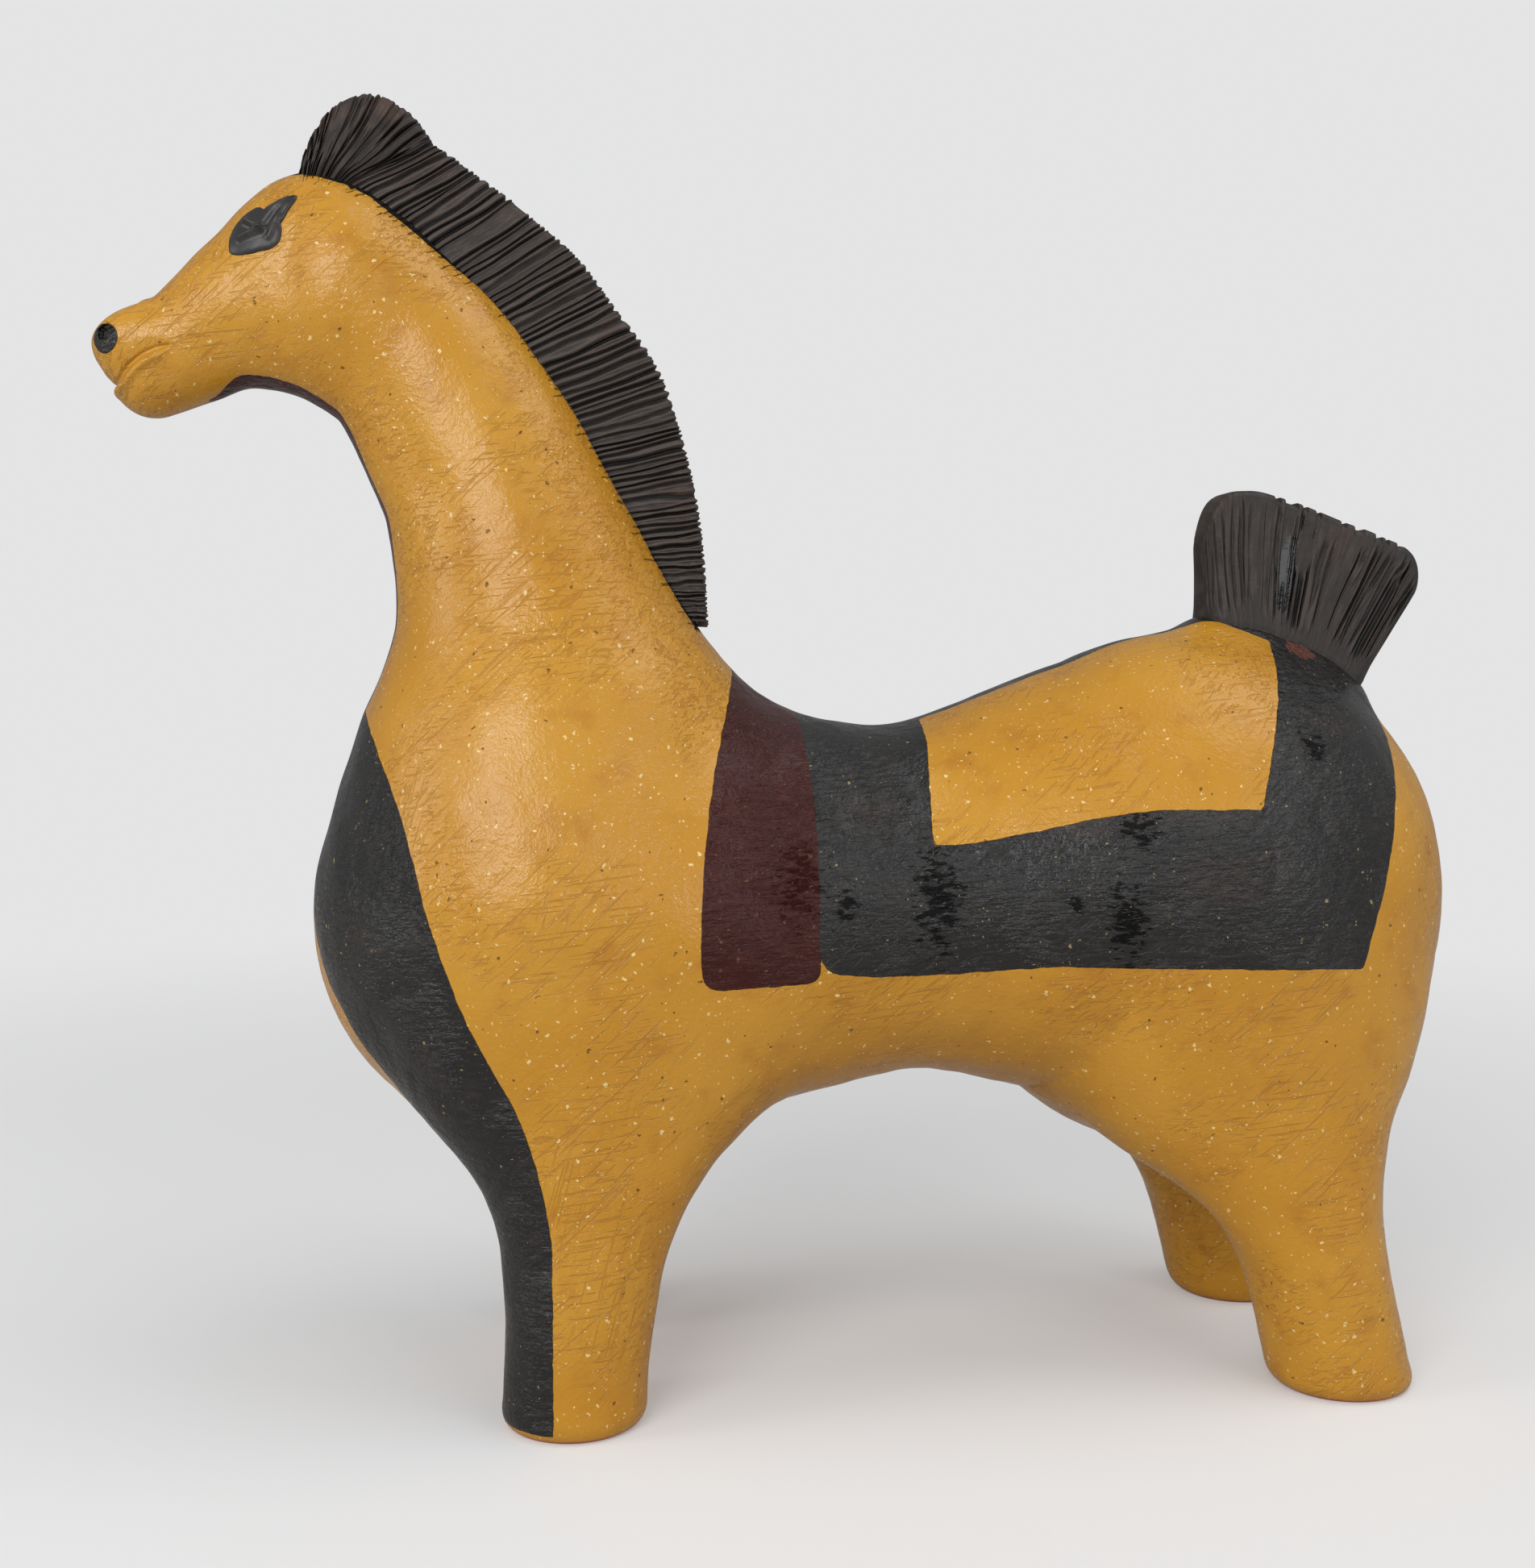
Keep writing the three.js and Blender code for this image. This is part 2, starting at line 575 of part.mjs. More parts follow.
// One leg of a pair, at -Y: rings of the clay's outline from the flat sole, round its edge, up to the seam.
// Where the clay runs on to the other leg, the two part in the middle plane.
function leg(rows) {
  const heights = [0, 0.06, 0.2, 0.5, 1.1].map((share) => share * FOOT_ROUND);
  const last = LEG_SEAM_HEIGHT - halfGap;
  for (let n = 1; n <= 5; n++) heights.push(heights[4] + ((last - heights[4]) * n) / 5);
  const points = [];
  const faces = [];
  heights.forEach((z) => {
    const [x, , , , y] = rows.reduce((a, b) => (Math.abs(b[1] - z) < Math.abs(a[1] - z) ? b : a));
    for (let n = 0; n < LEG_SIDES; n++) {
      const turn = (2 * Math.PI * n) / LEG_SIDES;
      const parting = Math.sin(turn) > 0 ? (y - halfGap) / Math.sin(turn) : far;
      const r = Math.min(reachOfClay(x, -y, z, Math.cos(turn), Math.sin(turn)), parting);
      points.push([x + r * Math.cos(turn), -y + r * Math.sin(turn), z]);
    }
  });
  for (let row = 0; row + 1 < heights.length; row++)
    for (let n = 0; n < LEG_SIDES; n++) {
      const a = row * LEG_SIDES + n;
      const b = row * LEG_SIDES + ((n + 1) % LEG_SIDES);
      faces.push([a, b, b + LEG_SIDES], [a, b + LEG_SIDES, a + LEG_SIDES]);
    }
  const top = points.length - LEG_SIDES;
  for (let n = 1; n + 1 < LEG_SIDES; n++) faces.push([0, n + 1, n], [top, top + n, top + n + 1]);
  return solidFrom(points, faces);
}

// How far the clay reaches from a point inside it along a level direction.
function reachOfClay(x, y, z, dx, dy) {
  let r = 0;
  while (clay(x + r * dx, y + r * dy, z) < 0) r += 1;
  let step = 1;
  for (let i = 0; i < 20; i++) {
    step /= 2;
    r += clay(x + r * dx, y + r * dy, z) < 0 ? step : -step;
  }
  return r;
}
const foreleg = leg(foreRows);
const hindleg = leg(hindRows);

// The mane, the forelock in front of it and the tail are cut to sit on the clay.
const bodyCut = puffed(bodySkin, SEAM_GAP);
const headCut = puffed(headSkin, SEAM_GAP);
const crest = { above: neckSeam, base: MANE_BASE_THICK, rim: MANE_RIM_THICK };
const parting = foreX + FORELOCK_BACK;
const mane = combedCrest({
  ...crest,
  x0: parting + 2 * SEAM_GAP,
  x1: foreX + MANE_BACK,
  rise: MANE_RISE,
  shares: [0.9, 0.855, 0.925, 0.97, 0.99, 1.02, 0.83, 0.52, 0.1],
  angles: [30.5, 35, 37, 34, 29, 22, 14, 6, -2],
  grooves: MANE_GROOVES,
}).subtract(bodyCut);
const forelock = combedCrest({
  ...crest,
  x0: foreX + FORELOCK_FRONT,
  x1: parting,
  rise: FORELOCK_RISE,
  shares: [0.19, 0.46, 0.78, 0.955, 1, 0.955, 0.865],
  angles: [80, 82, 74, 66, 56, 43.5, 30.5],
  grooves: FORELOCK_GROOVES,
}).subtract(bodyCut).subtract(headCut);
const tail = combedCrest({
  x0: hindX + TAIL_FRONT,
  x1: hindX + TAIL_BACK,
  above: TRUNK_HEIGHT,
  rise: TAIL_RISE,
  shares: [0.6, 0.92, 1, 1, 0.99, 0.99, 1.02, 1.05, 0.9],
  angles: [93, 93, 88, 83, 77, 70, 63.5, 58, 57],
  base: TAIL_BASE_THICK,
  rim: TAIL_RIM_THICK,
  grooves: TAIL_GROOVES,
}).subtract(bodyCut);
const eye = eyePellet().subtract(headCut);

const ochre = new THREE.MeshStandardMaterial({ color: 0xc4943f, roughness: 0.32, metalness: 0 });
const black = new THREE.MeshStandardMaterial({ color: 0x36332f, roughness: 0.5, metalness: 0 });
const stance = new THREE.Group();

// Adds a solid to the figure as a named mesh.
function add(name, solid, material) {
  const { points, faces } = listsOf(solid);
  const geometry = new THREE.BufferGeometry();
  geometry.setAttribute("position", new THREE.Float32BufferAttribute(points.flat(), 3));
  geometry.setIndex(faces.flat());
  geometry.computeVertexNormals();
  const mesh = new THREE.Mesh(geometry, material);
  mesh.name = name;
  stance.add(mesh);
}

add("trunk", trunk, ochre);
add("neck", neck, ochre);
add("head", head, ochre);
add("foreleg_left", foreleg, ochre);
add("foreleg_right", mirrored(foreleg), ochre);
add("hindleg_left", hindleg, ochre);
add("hindleg_right", mirrored(hindleg), ochre);
add("mane", mane, black);
add("forelock", forelock, black);
add("tail", tail, black);
add("eye_left", eye, black);
add("eye_right", mirrored(eye), black);

// The origin lies on the ground under the middle of the figure's length.
const extent = new THREE.Box3().setFromObject(stance);
stance.position.x = -(extent.min.x + extent.max.x) / 2;
const figure = new THREE.Group();
figure.add(stance);

export default figure;
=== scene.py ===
"""Glazed clay horse: the visual model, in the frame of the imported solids.

Shapes are worked out in millimetres in the stance frame, whose origin lies on the ground midway between
the two fore feet. They move into the row frame, in metres, when a mesh is made.
"""
import logging
import math
from collections.abc import Callable, Sequence
from dataclasses import dataclass, field
from enum import Enum

import bmesh
import bpy
import numpy as np
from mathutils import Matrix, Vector


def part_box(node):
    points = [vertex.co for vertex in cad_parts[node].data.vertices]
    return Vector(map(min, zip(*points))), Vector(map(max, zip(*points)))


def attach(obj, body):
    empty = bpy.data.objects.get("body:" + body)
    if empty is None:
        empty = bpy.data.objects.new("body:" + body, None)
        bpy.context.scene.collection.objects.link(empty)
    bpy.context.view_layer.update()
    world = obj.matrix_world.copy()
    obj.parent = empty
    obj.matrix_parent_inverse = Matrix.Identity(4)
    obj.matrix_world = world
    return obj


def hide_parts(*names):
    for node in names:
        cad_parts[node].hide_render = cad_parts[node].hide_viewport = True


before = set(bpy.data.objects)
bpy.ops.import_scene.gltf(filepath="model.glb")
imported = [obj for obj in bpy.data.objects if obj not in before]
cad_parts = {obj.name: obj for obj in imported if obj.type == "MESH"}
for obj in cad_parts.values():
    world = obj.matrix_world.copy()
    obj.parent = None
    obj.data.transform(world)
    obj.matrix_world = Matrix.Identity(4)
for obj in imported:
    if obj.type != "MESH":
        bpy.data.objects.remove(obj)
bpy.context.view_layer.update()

LOG = logging.getLogger("clay_horse")

Array = np.ndarray
Field = Callable[[Array], Array]
Socket = bpy.types.NodeSocket
Value = float | tuple[float, ...] | Socket
Pair = tuple[float, float]
Triple = tuple[float, float, float]
Quad = tuple[float, float, float, float]

MM = 0.001
# The head ends this far ahead of the fore feet, so its box gives the way from the stance to the row frame
HEAD_SEAM_BACK = 53.15
STANCE_SHIFT = np.array([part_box("head")[1].x / MM + HEAD_SEAM_BACK, 0.0, 0.0])
# The middle of a nostril in the side view, and a distance past the reach of every piece
NOSTRIL = (-95.9, 228.9)
FAR = 99.0
# A spot far off the crest, for a crest without one: place, height and their reach
NOWHERE = (-9.0, 0.0, 1.0, 1.0)
# The corners of a small tetrahedron, from which a gradient is read
TETRA = np.array([[1.0, -1.0, -1.0], [-1.0, -1.0, 1.0], [-1.0, 1.0, -1.0], [1.0, 1.0, 1.0]])


class Slot(Enum):
    """The record's material slots."""

    OCHRE = "ochre_glaze"
    SLIP = "black_slip"


class Side(Enum):
    """The two sides of the horse, by the sign of Y."""

    LEFT = -1
    RIGHT = 1


def to_row(points: Array) -> Array:
    """Moves stance millimetres into row metres."""
    return (points + STANCE_SHIFT) * MM


def through(values: Sequence[float] | Array, t: Array) -> Array:
    """Reads a smooth curve through evenly spaced values.

    A Catmull-Rom cubic: the curve passes each value with the slope between its two neighbours.

    Args:
        values: The values to pass, evenly spaced from t = 0 to t = 1.
        t: Where to read the curve; beyond the ends it holds the end values.

    Returns:
        The curve's values at t.
    """
    v = np.asarray(values, float)
    place = np.clip(t, 0.0, 1.0) * (len(v) - 1)
    n = np.minimum(place.astype(int), len(v) - 2)
    f = place - n
    ends = np.concatenate([[2 * v[0] - v[1]], v, [2 * v[-1] - v[-2]]])
    a, b, c, d = (ends[n + i] for i in range(4))
    return b + 0.5 * f * (c - a + f * (2 * a - 5 * b + 4 * c - d + f * (3 * (b - c) + d - a)))


def ease(t: Array) -> Array:
    """Smooth step: 0 below 0, 1 above 1, and 3t^2 - 2t^3 between."""
    t = np.clip(t, 0.0, 1.0)
    return t * t * (3.0 - 2.0 * t)


def melt(a: Array, b: Array, reach: float) -> Array:
    """Smooth minimum: the lesser of a and b, less h^2 reach / 4 where they differ by under reach."""
    h = np.maximum(reach - np.abs(a - b), 0.0) / reach
    return np.minimum(a, b) - h * h * reach / 4.0


def carve(a: Array, b: Array, reach: float) -> Array:
    """Smooth maximum, the mirror of melt."""
    return -melt(-a, -b, reach)


def by_chunks(f: Field, points: Array, size: int = 40000) -> Array:
    """Applies a field to many points, a block at a time, so that the arrays stay small."""
    return np.concatenate([f(points[i:i + size]) for i in range(0, len(points), size)])


def slope(f: Field, points: Array, reach: float = 0.06) -> Array:
    """Gradient of a field from its values at the corners of a small tetrahedron round each point."""
    return by_chunks(lambda p: sum(k * f(p + reach * k)[:, None] for k in TETRA) / (4.0 * reach), points)


def unit(vectors: Array) -> Array:
    """Each row scaled to length one."""
    return vectors / np.maximum(np.linalg.norm(vectors, axis=-1, keepdims=True), 1e-12)


def onto_skin(f: Field, points: Array, stride: float, steps: int = 2) -> Array:
    """Moves points on to the field's zero skin by Newton's steps along its gradient.

    Args:
        f: The field, negative inside.
        points: Points near the skin.
        stride: The longest step allowed.
        steps: How many steps to take.

    Returns:
        The moved points.
    """
    for _ in range(steps):
        g = slope(f, points)
        move = by_chunks(f, points) / np.maximum((g * g).sum(1), 0.05)
        points = points - np.clip(move, -stride, stride)[:, None] * g
    return points


def skin_net(f: Field, low: Sequence[float], high: Sequence[float], cell: float) -> tuple[Array, Array]:
    """Nets the zero skin of a field with quads.

    A box is filled with cubes. Every cube that the skin passes gets one vertex, the mean of the skin's
    crossings of its edges, and every crossed edge gets a quad between the four cubes round it. The field
    is first read at the middles of blocks of cubes, and in full only in blocks that may hold the skin.

    Args:
        f: The field, negative inside.
        low: The box's lowest corner.
        high: The box's highest corner.
        cell: The cubes' side.

    Returns:
        The vertices, on the skin, and the quads, facing out.
    """
    block = 4
    start = np.asarray(low, float)
    blocks = np.ceil((np.asarray(high, float) - start) / (cell * block)).astype(int)
    corners = blocks * block + 1
    cubes = corners - 1
    middles = [start[i] + (np.arange(blocks[i]) + 0.5) * cell * block for i in range(3)]
    grid = np.stack(np.meshgrid(*middles, indexing="ij"), axis=-1).reshape(-1, 3)
    coarse = by_chunks(f, grid).reshape(blocks)
    owner = np.ix_(*[np.minimum(np.arange(corners[i]) // block, blocks[i] - 1) for i in range(3)])
    value = coarse[owner]
    near = (np.abs(coarse) < 1.6 * cell * block)[owner]
    value[near] = by_chunks(f, start + np.argwhere(near) * cell)
    inside = value < 0
    crossings, rounds = [], []
    for axis in range(3):
        u, w = (axis + 1) % 3, (axis + 2) % 3
        step = np.eye(3, dtype=int)[axis]
        one = tuple(slice(0, -1) if i == axis else slice(None) for i in range(3))
        two = tuple(slice(1, None) if i == axis else slice(None) for i in range(3))
        edges = np.argwhere(inside[one] != inside[two])
        kept = (edges[:, u] > 0) & (edges[:, u] < cubes[u]) & (edges[:, w] > 0) & (edges[:, w] < cubes[w])
        edges = edges[kept]
        first = value[tuple(edges.T)]
        last = value[tuple((edges + step).T)]
        crossings.append(edges + (first / (first - last))[:, None] * step)
        turn = np.zeros((4, 3), int)
        turn[[1, 2], u] = -1
        turn[[2, 3], w] = -1
        ring = np.ravel_multi_index(tuple(np.moveaxis(edges[:, None, :] + turn, -1, 0)), tuple(cubes))
        rounds.append(np.where((first < 0)[:, None], ring, ring[:, ::-1]))
    ring = np.concatenate(rounds)
    spots = np.repeat(np.concatenate(crossings), 4, axis=0)
    used, faces = np.unique(ring.ravel(), return_inverse=True)
    share = np.bincount(faces)
    places = np.stack([np.bincount(faces, weights=spots[:, i]) / share for i in range(3)], axis=1)
    return onto_skin(f, start + places * cell, 0.7 * cell), faces.reshape(-1, 4)


def mesh_of(name: str, points: Array, faces: Sequence[Sequence[int]]) -> bpy.types.Mesh:
    """Makes a smooth-shaded mesh from stance points.

    Args:
        name: The mesh's name.
        points: Stance points in millimetres.
        faces: Faces as lists of point numbers.

    Returns:
        The new mesh, in row metres.
    """
    mesh = bpy.data.meshes.new(name)
    mesh.from_pydata(to_row(points).tolist(), [], faces if isinstance(faces, list) else faces.tolist())
    mesh.shade_smooth()
    return mesh


def grid_quads(number: Array) -> list[list[int]]:
    """Quads between the rows of a grid of point numbers whose rows are closed rings."""
    after = np.roll(number, -1, axis=1)
    return np.stack([number[:-1], number[1:], after[1:], after[:-1]], axis=-1).reshape(-1, 4).tolist()


def fan(middle: int, ring: Array) -> list[list[int]]:
    """Triangles from one point to a closed ring of point numbers."""
    return np.stack([np.full_like(ring, middle), ring, np.roll(ring, -1)], axis=-1).tolist()


def face_out(mesh: bpy.types.Mesh) -> None:
    """Turns the faces of a closed mesh outward."""
    edit = bmesh.new()
    edit.from_mesh(mesh)
    bmesh.ops.recalc_face_normals(edit, faces=edit.faces)
    edit.to_mesh(mesh)
    edit.free()


def points_of(mesh: bpy.types.Mesh) -> Array:
    """The stance points of a mesh that is in row metres."""
    flat = np.empty(3 * len(mesh.vertices))
    mesh.vertices.foreach_get("co", flat)
    return flat.reshape(-1, 3) / MM - STANCE_SHIFT


def write_attribute(mesh: bpy.types.Mesh, name: str, values: Array) -> None:
    """Stores one number per vertex under a name that the finishes read."""
    mesh.attributes.new(name, "FLOAT", "POINT").data.foreach_set("value", values.astype(np.float32))


def put_piece(mesh: bpy.types.Mesh, finish: bpy.types.Material, node: str) -> None:
    """Places a finished mesh in the scene for one solid of the frame.

    Args:
        mesh: The mesh, in row metres.
        finish: Its material.
        node: The solid that it stands for.
    """
    piece = bpy.data.objects.new(mesh.name, mesh)
    bpy.context.scene.collection.objects.link(piece)
    mesh.materials.append(finish)
    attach(piece, "root")
    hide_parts(node)
    LOG.info("%s for %s: %d vertices, %d faces", piece.name, node, len(mesh.vertices), len(mesh.polygons))


@dataclass(frozen=True)
class Roll:
    """A tapering roll of clay along a path in a plane of constant side offset.

    Each station is (x, z, half depth, half width, y). The path and the sizes run through the stations in
    Catmull-Rom cubics. The gap to a place on the path is the distance to it, with the sideways part
    stretched by depth over width, less the half depth there. The roll's distance is the least gap: the
    nearest of short straight lengths gives a first place, and two parabolas through three gaps refine it.
    """

    stations: tuple[tuple[float, float, float, float, float], ...]
    lengths: int = 5
    far: float = 26.0
    refine: Pair = (0.5, 0.2)
    rows: Array = field(init=False)

    def __post_init__(self) -> None:
        """Works out the stations and the cubics' points between them."""
        t = np.linspace(0.0, 1.0, (len(self.stations) - 1) * self.lengths + 1)
        object.__setattr__(self, "rows", self.read(t))

    def read(self, t: Array) -> Array:
        """The readings of the stations at shares of the path."""
        return np.stack([through(column, t) for column in np.array(self.stations).T], axis=1)

    def clearance(self, p: Array) -> float:
        """A distance in the side view that no point is nearer than: from the points' box to the roll's."""
        places, deep = self.rows[:, :2], self.rows[:, 2:3]
        low, high = (places - deep).min(0), (places + deep).max(0)
        side = p[:, [0, 2]]
        return float(np.linalg.norm(np.maximum(np.maximum(side.min(0) - high, low - side.max(0)), 0.0)))

    def distance(self, p: Array) -> Array:
        """Signed distance of points from the roll's skin, by the least gap.

        Args:
            p: Points in the stance frame.

        Returns:
            The distance, negative inside, or one bound for all where the roll is far away.
        """
        room = self.clearance(p)
        if room > self.far:
            return np.full(len(p), room)
        x, y, z = p[:, 0], np.abs(p[:, 1]), p[:, 2]
        near, place = np.full(len(p), np.inf), np.zeros(len(p))
        for number, (one, two) in enumerate(zip(self.rows[:-1], self.rows[1:])):
            (ax, az, ad, aw, ay), (bx, bz, bd, bw, by) = one, two
            dx, dz = bx - ax, bz - az
            t = np.clip(((x - ax) * dx + (z - az) * dz) / (dx * dx + dz * dz), 0.0, 1.0)
            deep = ad + (bd - ad) * t
            side = (y - ay - (by - ay) * t) * deep / (aw + (bw - aw) * t)
            reach = np.sqrt((x - ax - dx * t) ** 2 + (z - az - dz * t) ** 2 + side * side) - deep
            closer = reach < near
            near, place = np.where(closer, reach, near), np.where(closer, number + t, place)
        whole = len(self.rows) - 1
        share = place / whole

        def gap(t: Array) -> Array:
            """Distance to the ball at each point's place on the path."""
            cx, cz, deep, wide, cy = self.read(t).T
            return np.sqrt((x - cx) ** 2 + (z - cz) ** 2 + ((y - cy) * deep / wide) ** 2) - deep

        for e in np.array(self.refine) / whole:
            middle = np.clip(share, e, 1.0 - e)
            low, here, high = gap(middle - e), gap(middle), gap(middle + e)
            step = 0.5 * e * (low - high) / np.maximum(low - 2.0 * here + high, 1e-9)
            share = np.clip(middle + np.clip(step, -2.0 * e, 2.0 * e), 0.0, 1.0)
        return gap(share)


@dataclass(frozen=True)
class HandTouch:
    """The unevenness that hands leave in clay: a sum of sine waves in seeded directions."""

    seed: int = 11
    waves: tuple[Pair, ...] = (
        (74.0, 0.16), (58.0, 0.15), (44.0, 0.13), (33.0, 0.11), (26.0, 0.09), (19.0, 0.07),
        (14.0, 0.05), (10.5, 0.04), (8.0, 0.03), (6.2, 0.024), (5.0, 0.018),
    )

    def height(self, p: Array) -> Array:
        """Height of the waves at points: each wave is its depth times the sine of its phase there."""
        dice = np.random.default_rng(self.seed)
        length, depth = np.array(self.waves).T
        ways = unit(dice.normal(size=(len(length), 3))) * (2 * math.pi / length)[:, None]
        return np.sin(p @ ways.T + dice.uniform(0, 2 * math.pi, len(length))) @ depth


@dataclass(frozen=True)
class Stance:
    """Heights and lengths that the clay's rolls are laid out from."""

    leg_spacing: float = 170.0
    leg_track: float = 63.0
    trunk_height: float = 106.0
    leg_seam: float = 43.0
    thigh_rise: float = 31.0
    neck_foot: Pair = (-2.2, 143.4)
    neck_rise: float = 90.2
    neck_lean: float = 43.7
    head_length: float = 45.9
    brow_rise: float = 17.4
    head_fall: float = 23.5

    def poll(self) -> Pair:
        """Where the neck's axis ends."""
        return self.neck_foot[0] - self.neck_lean, self.neck_foot[1] + self.neck_rise

    def muzzle(self) -> Pair:
        """The middle of the muzzle."""
        x, z = self.poll()
        return x - self.head_length, z + self.brow_rise - self.head_fall


@dataclass(frozen=True)
class ClayBody:
    """The clay of trunk, neck, head and legs, as one field of rolls that melt into each other."""

    stance: Stance = Stance()
    touch: HandTouch = HandTouch()
    neck_melt: float = 20.0
    head_melt: float = 13.0
    chin_melt: float = 3.0
    leg_melt: float = 16.0
    dock_melt: float = 9.0
    sole_round: float = 5.0
    nose_flat: float = 7.3
    nose_tip: float = 31.6
    rump_ahead: float = 27.4
    rump_rise: float = 0.8
    dock_reach: float = 57.6
    rolls: dict[str, Roll] = field(init=False)

    def __post_init__(self) -> None:
        """Lays out the rolls from the stance."""
        s = self.stance
        span, height = s.leg_spacing, s.trunk_height
        rump = span - self.rump_ahead, height + self.rump_rise
        trunk = (
            (-4.8, height - 1.6, 51.1, 48.5, 0.0),
            (0.176 * span, height - 1.6, 45.9, 46.0, 0.0),
            (0.456 * span, height + 0.4, 39.5, 42.5, 0.0),
            (0.745 * span, height + 3.1, 51.9, 48.5, 0.0),
            (*rump, 59.8, 51.0, 0.0),
        )
        climb = ((0.0, 0.0, 38.9, 37.0), (0.095, 0.256, 31.05, 29.0), (0.258, 0.535, 25.55, 23.5),
                 (0.41, 0.7, 23.65, 21.05), (0.675, 0.905, 21.75, 18.6), (0.986, 1.01, 20.4, 17.0))
        foot_x, foot_z = s.neck_foot
        neck = tuple((foot_x - lean * s.neck_lean, foot_z + rise * s.neck_rise, deep, wide, 0.0)
                     for lean, rise, deep, wide in climb)
        (px, pz), (mx, mz) = s.poll(), s.muzzle()
        brow = pz + s.brow_rise
        cheek = px - 0.496 * s.head_length
        head = (
            (px, pz + 0.483 * s.brow_rise, 15.8, 15.0, 0.0),
            (px - 0.175 * s.head_length, brow, 13.2, 12.5, 0.0),
            (cheek, brow - 0.579 * s.head_fall, 13.1, 12.4, 0.0),
            (px - 0.776 * s.head_length, mz + 1.3, 10.45, 10.2, 0.0),
            (mx, mz, 9.0, 9.6, 0.0),
        )
        chin_x, chin_z = mx + 4.1, mz - 6.6
        chin = (
            (cheek, brow - 0.779 * s.head_fall, 12.4, 11.4, 0.0),
            ((cheek + chin_x) / 2, chin_z + 4.2, 9.9, 10.0, 0.0),
            (chin_x, chin_z, 9.1, 9.4, 0.0),
        )
        dock = tuple((rump[0] + self.dock_reach * math.sin(math.radians(a)),
                      rump[1] + self.dock_reach * math.cos(math.radians(a)), 5.4, wide, 0.0)
                     for a, wide in ((6.0, 7.6), (17.0, 8.4), (28.0, 8.4), (39.0, 7.6)))
        rolls = {"trunk": trunk, "neck": neck, "head": head, "chin": chin, "dock": dock,
                 "fore": self.leg(0.0, -5.0, (15.4, 16.4, 18.6, 32.9)),
                 "hind": self.leg(span, 18.6, (15.5, 15.9, 18.6, 34.0))}
        object.__setattr__(self, "rolls", {name: Roll(stations) for name, stations in rolls.items()})

    def leg(self, x: float, slant: float, deep: Quad) -> tuple:
        """Stations of a leg from below the ground to the thigh.

        Args:
            x: The middle of the foot.
            slant: How far the leg leans forward from foot to thigh.
            deep: Half depths at the foot, the shin, the seam and the thigh.

        Returns:
            The stations, leaning evenly and turning in towards the trunk.
        """
        s = self.stance
        top = s.leg_seam + s.thigh_rise
        foot, shin, seam, thigh = deep
        at = ((-5.0, foot, 14.8, 0.0), (12.0, foot, 14.8, 0.0), (0.65 * s.leg_seam, shin, 15.4, 0.08),
              (0.98 * s.leg_seam, seam, 15.8, 0.23),
              (s.leg_seam + 0.42 * s.thigh_rise, seam + 0.35 * (thigh - seam), 17.06, 0.46),
              (top, thigh, 20.0, 1.0))
        return tuple((x - slant * z / top, z, d, w, s.leg_track / 2 - 6.5 * turn) for z, d, w, turn in at)

    def nose(self, p: Array) -> Array:
        """Distance past the flat of the nose, which ends behind the middle of the muzzle."""
        x, z = self.stance.muzzle()
        tip = math.radians(self.nose_tip)
        past = (p[:, 2] - z) * math.cos(tip) - (p[:, 0] - x) * math.sin(tip) - self.nose_flat
        return past - 1.2 * np.maximum(p[:, 0] - x - 1.7, 0.0)

    def smooth(self, p: Array) -> Array:
        """Signed distance of points from the clay before hands and tools marked it."""
        far = {name: roll.distance(p) for name, roll in self.rolls.items()}
        trunk = melt(melt(far["trunk"], far["neck"], self.neck_melt), far["dock"], self.dock_melt)
        face = melt(carve(far["head"], self.nose(p), self.chin_melt), far["chin"], self.chin_melt)
        body = melt(melt(trunk, face, self.head_melt), np.minimum(far["fore"], far["hind"]), self.leg_melt)
        return carve(body, -(p[:, 2] + 0.5), self.sole_round)

    def distance(self, p: Array) -> Array:
        """Signed distance of points from the hand-worked clay."""
        fade = ease((p[:, 2] - 1.0) / 6.0)
        return self.smooth(p) - fade * self.touch.height(p)

    def top(self, x: Array, above: float) -> Array:
        """Height of the clay's back in the middle plane, by halving the span between inside and outside.

        Args:
            x: Places along the horse.
            above: A height inside the clay at all of them.

        Returns:
            The heights of the skin.
        """
        low, high = np.full(len(x), above), np.full(len(x), 300.0)
        for _ in range(26):
            middle = (low + high) / 2
            outside = self.distance(np.stack([x, np.zeros(len(x)), middle], axis=1)) > 0
            low, high = np.where(outside, low, middle), np.where(outside, middle, high)
        return (low + high) / 2


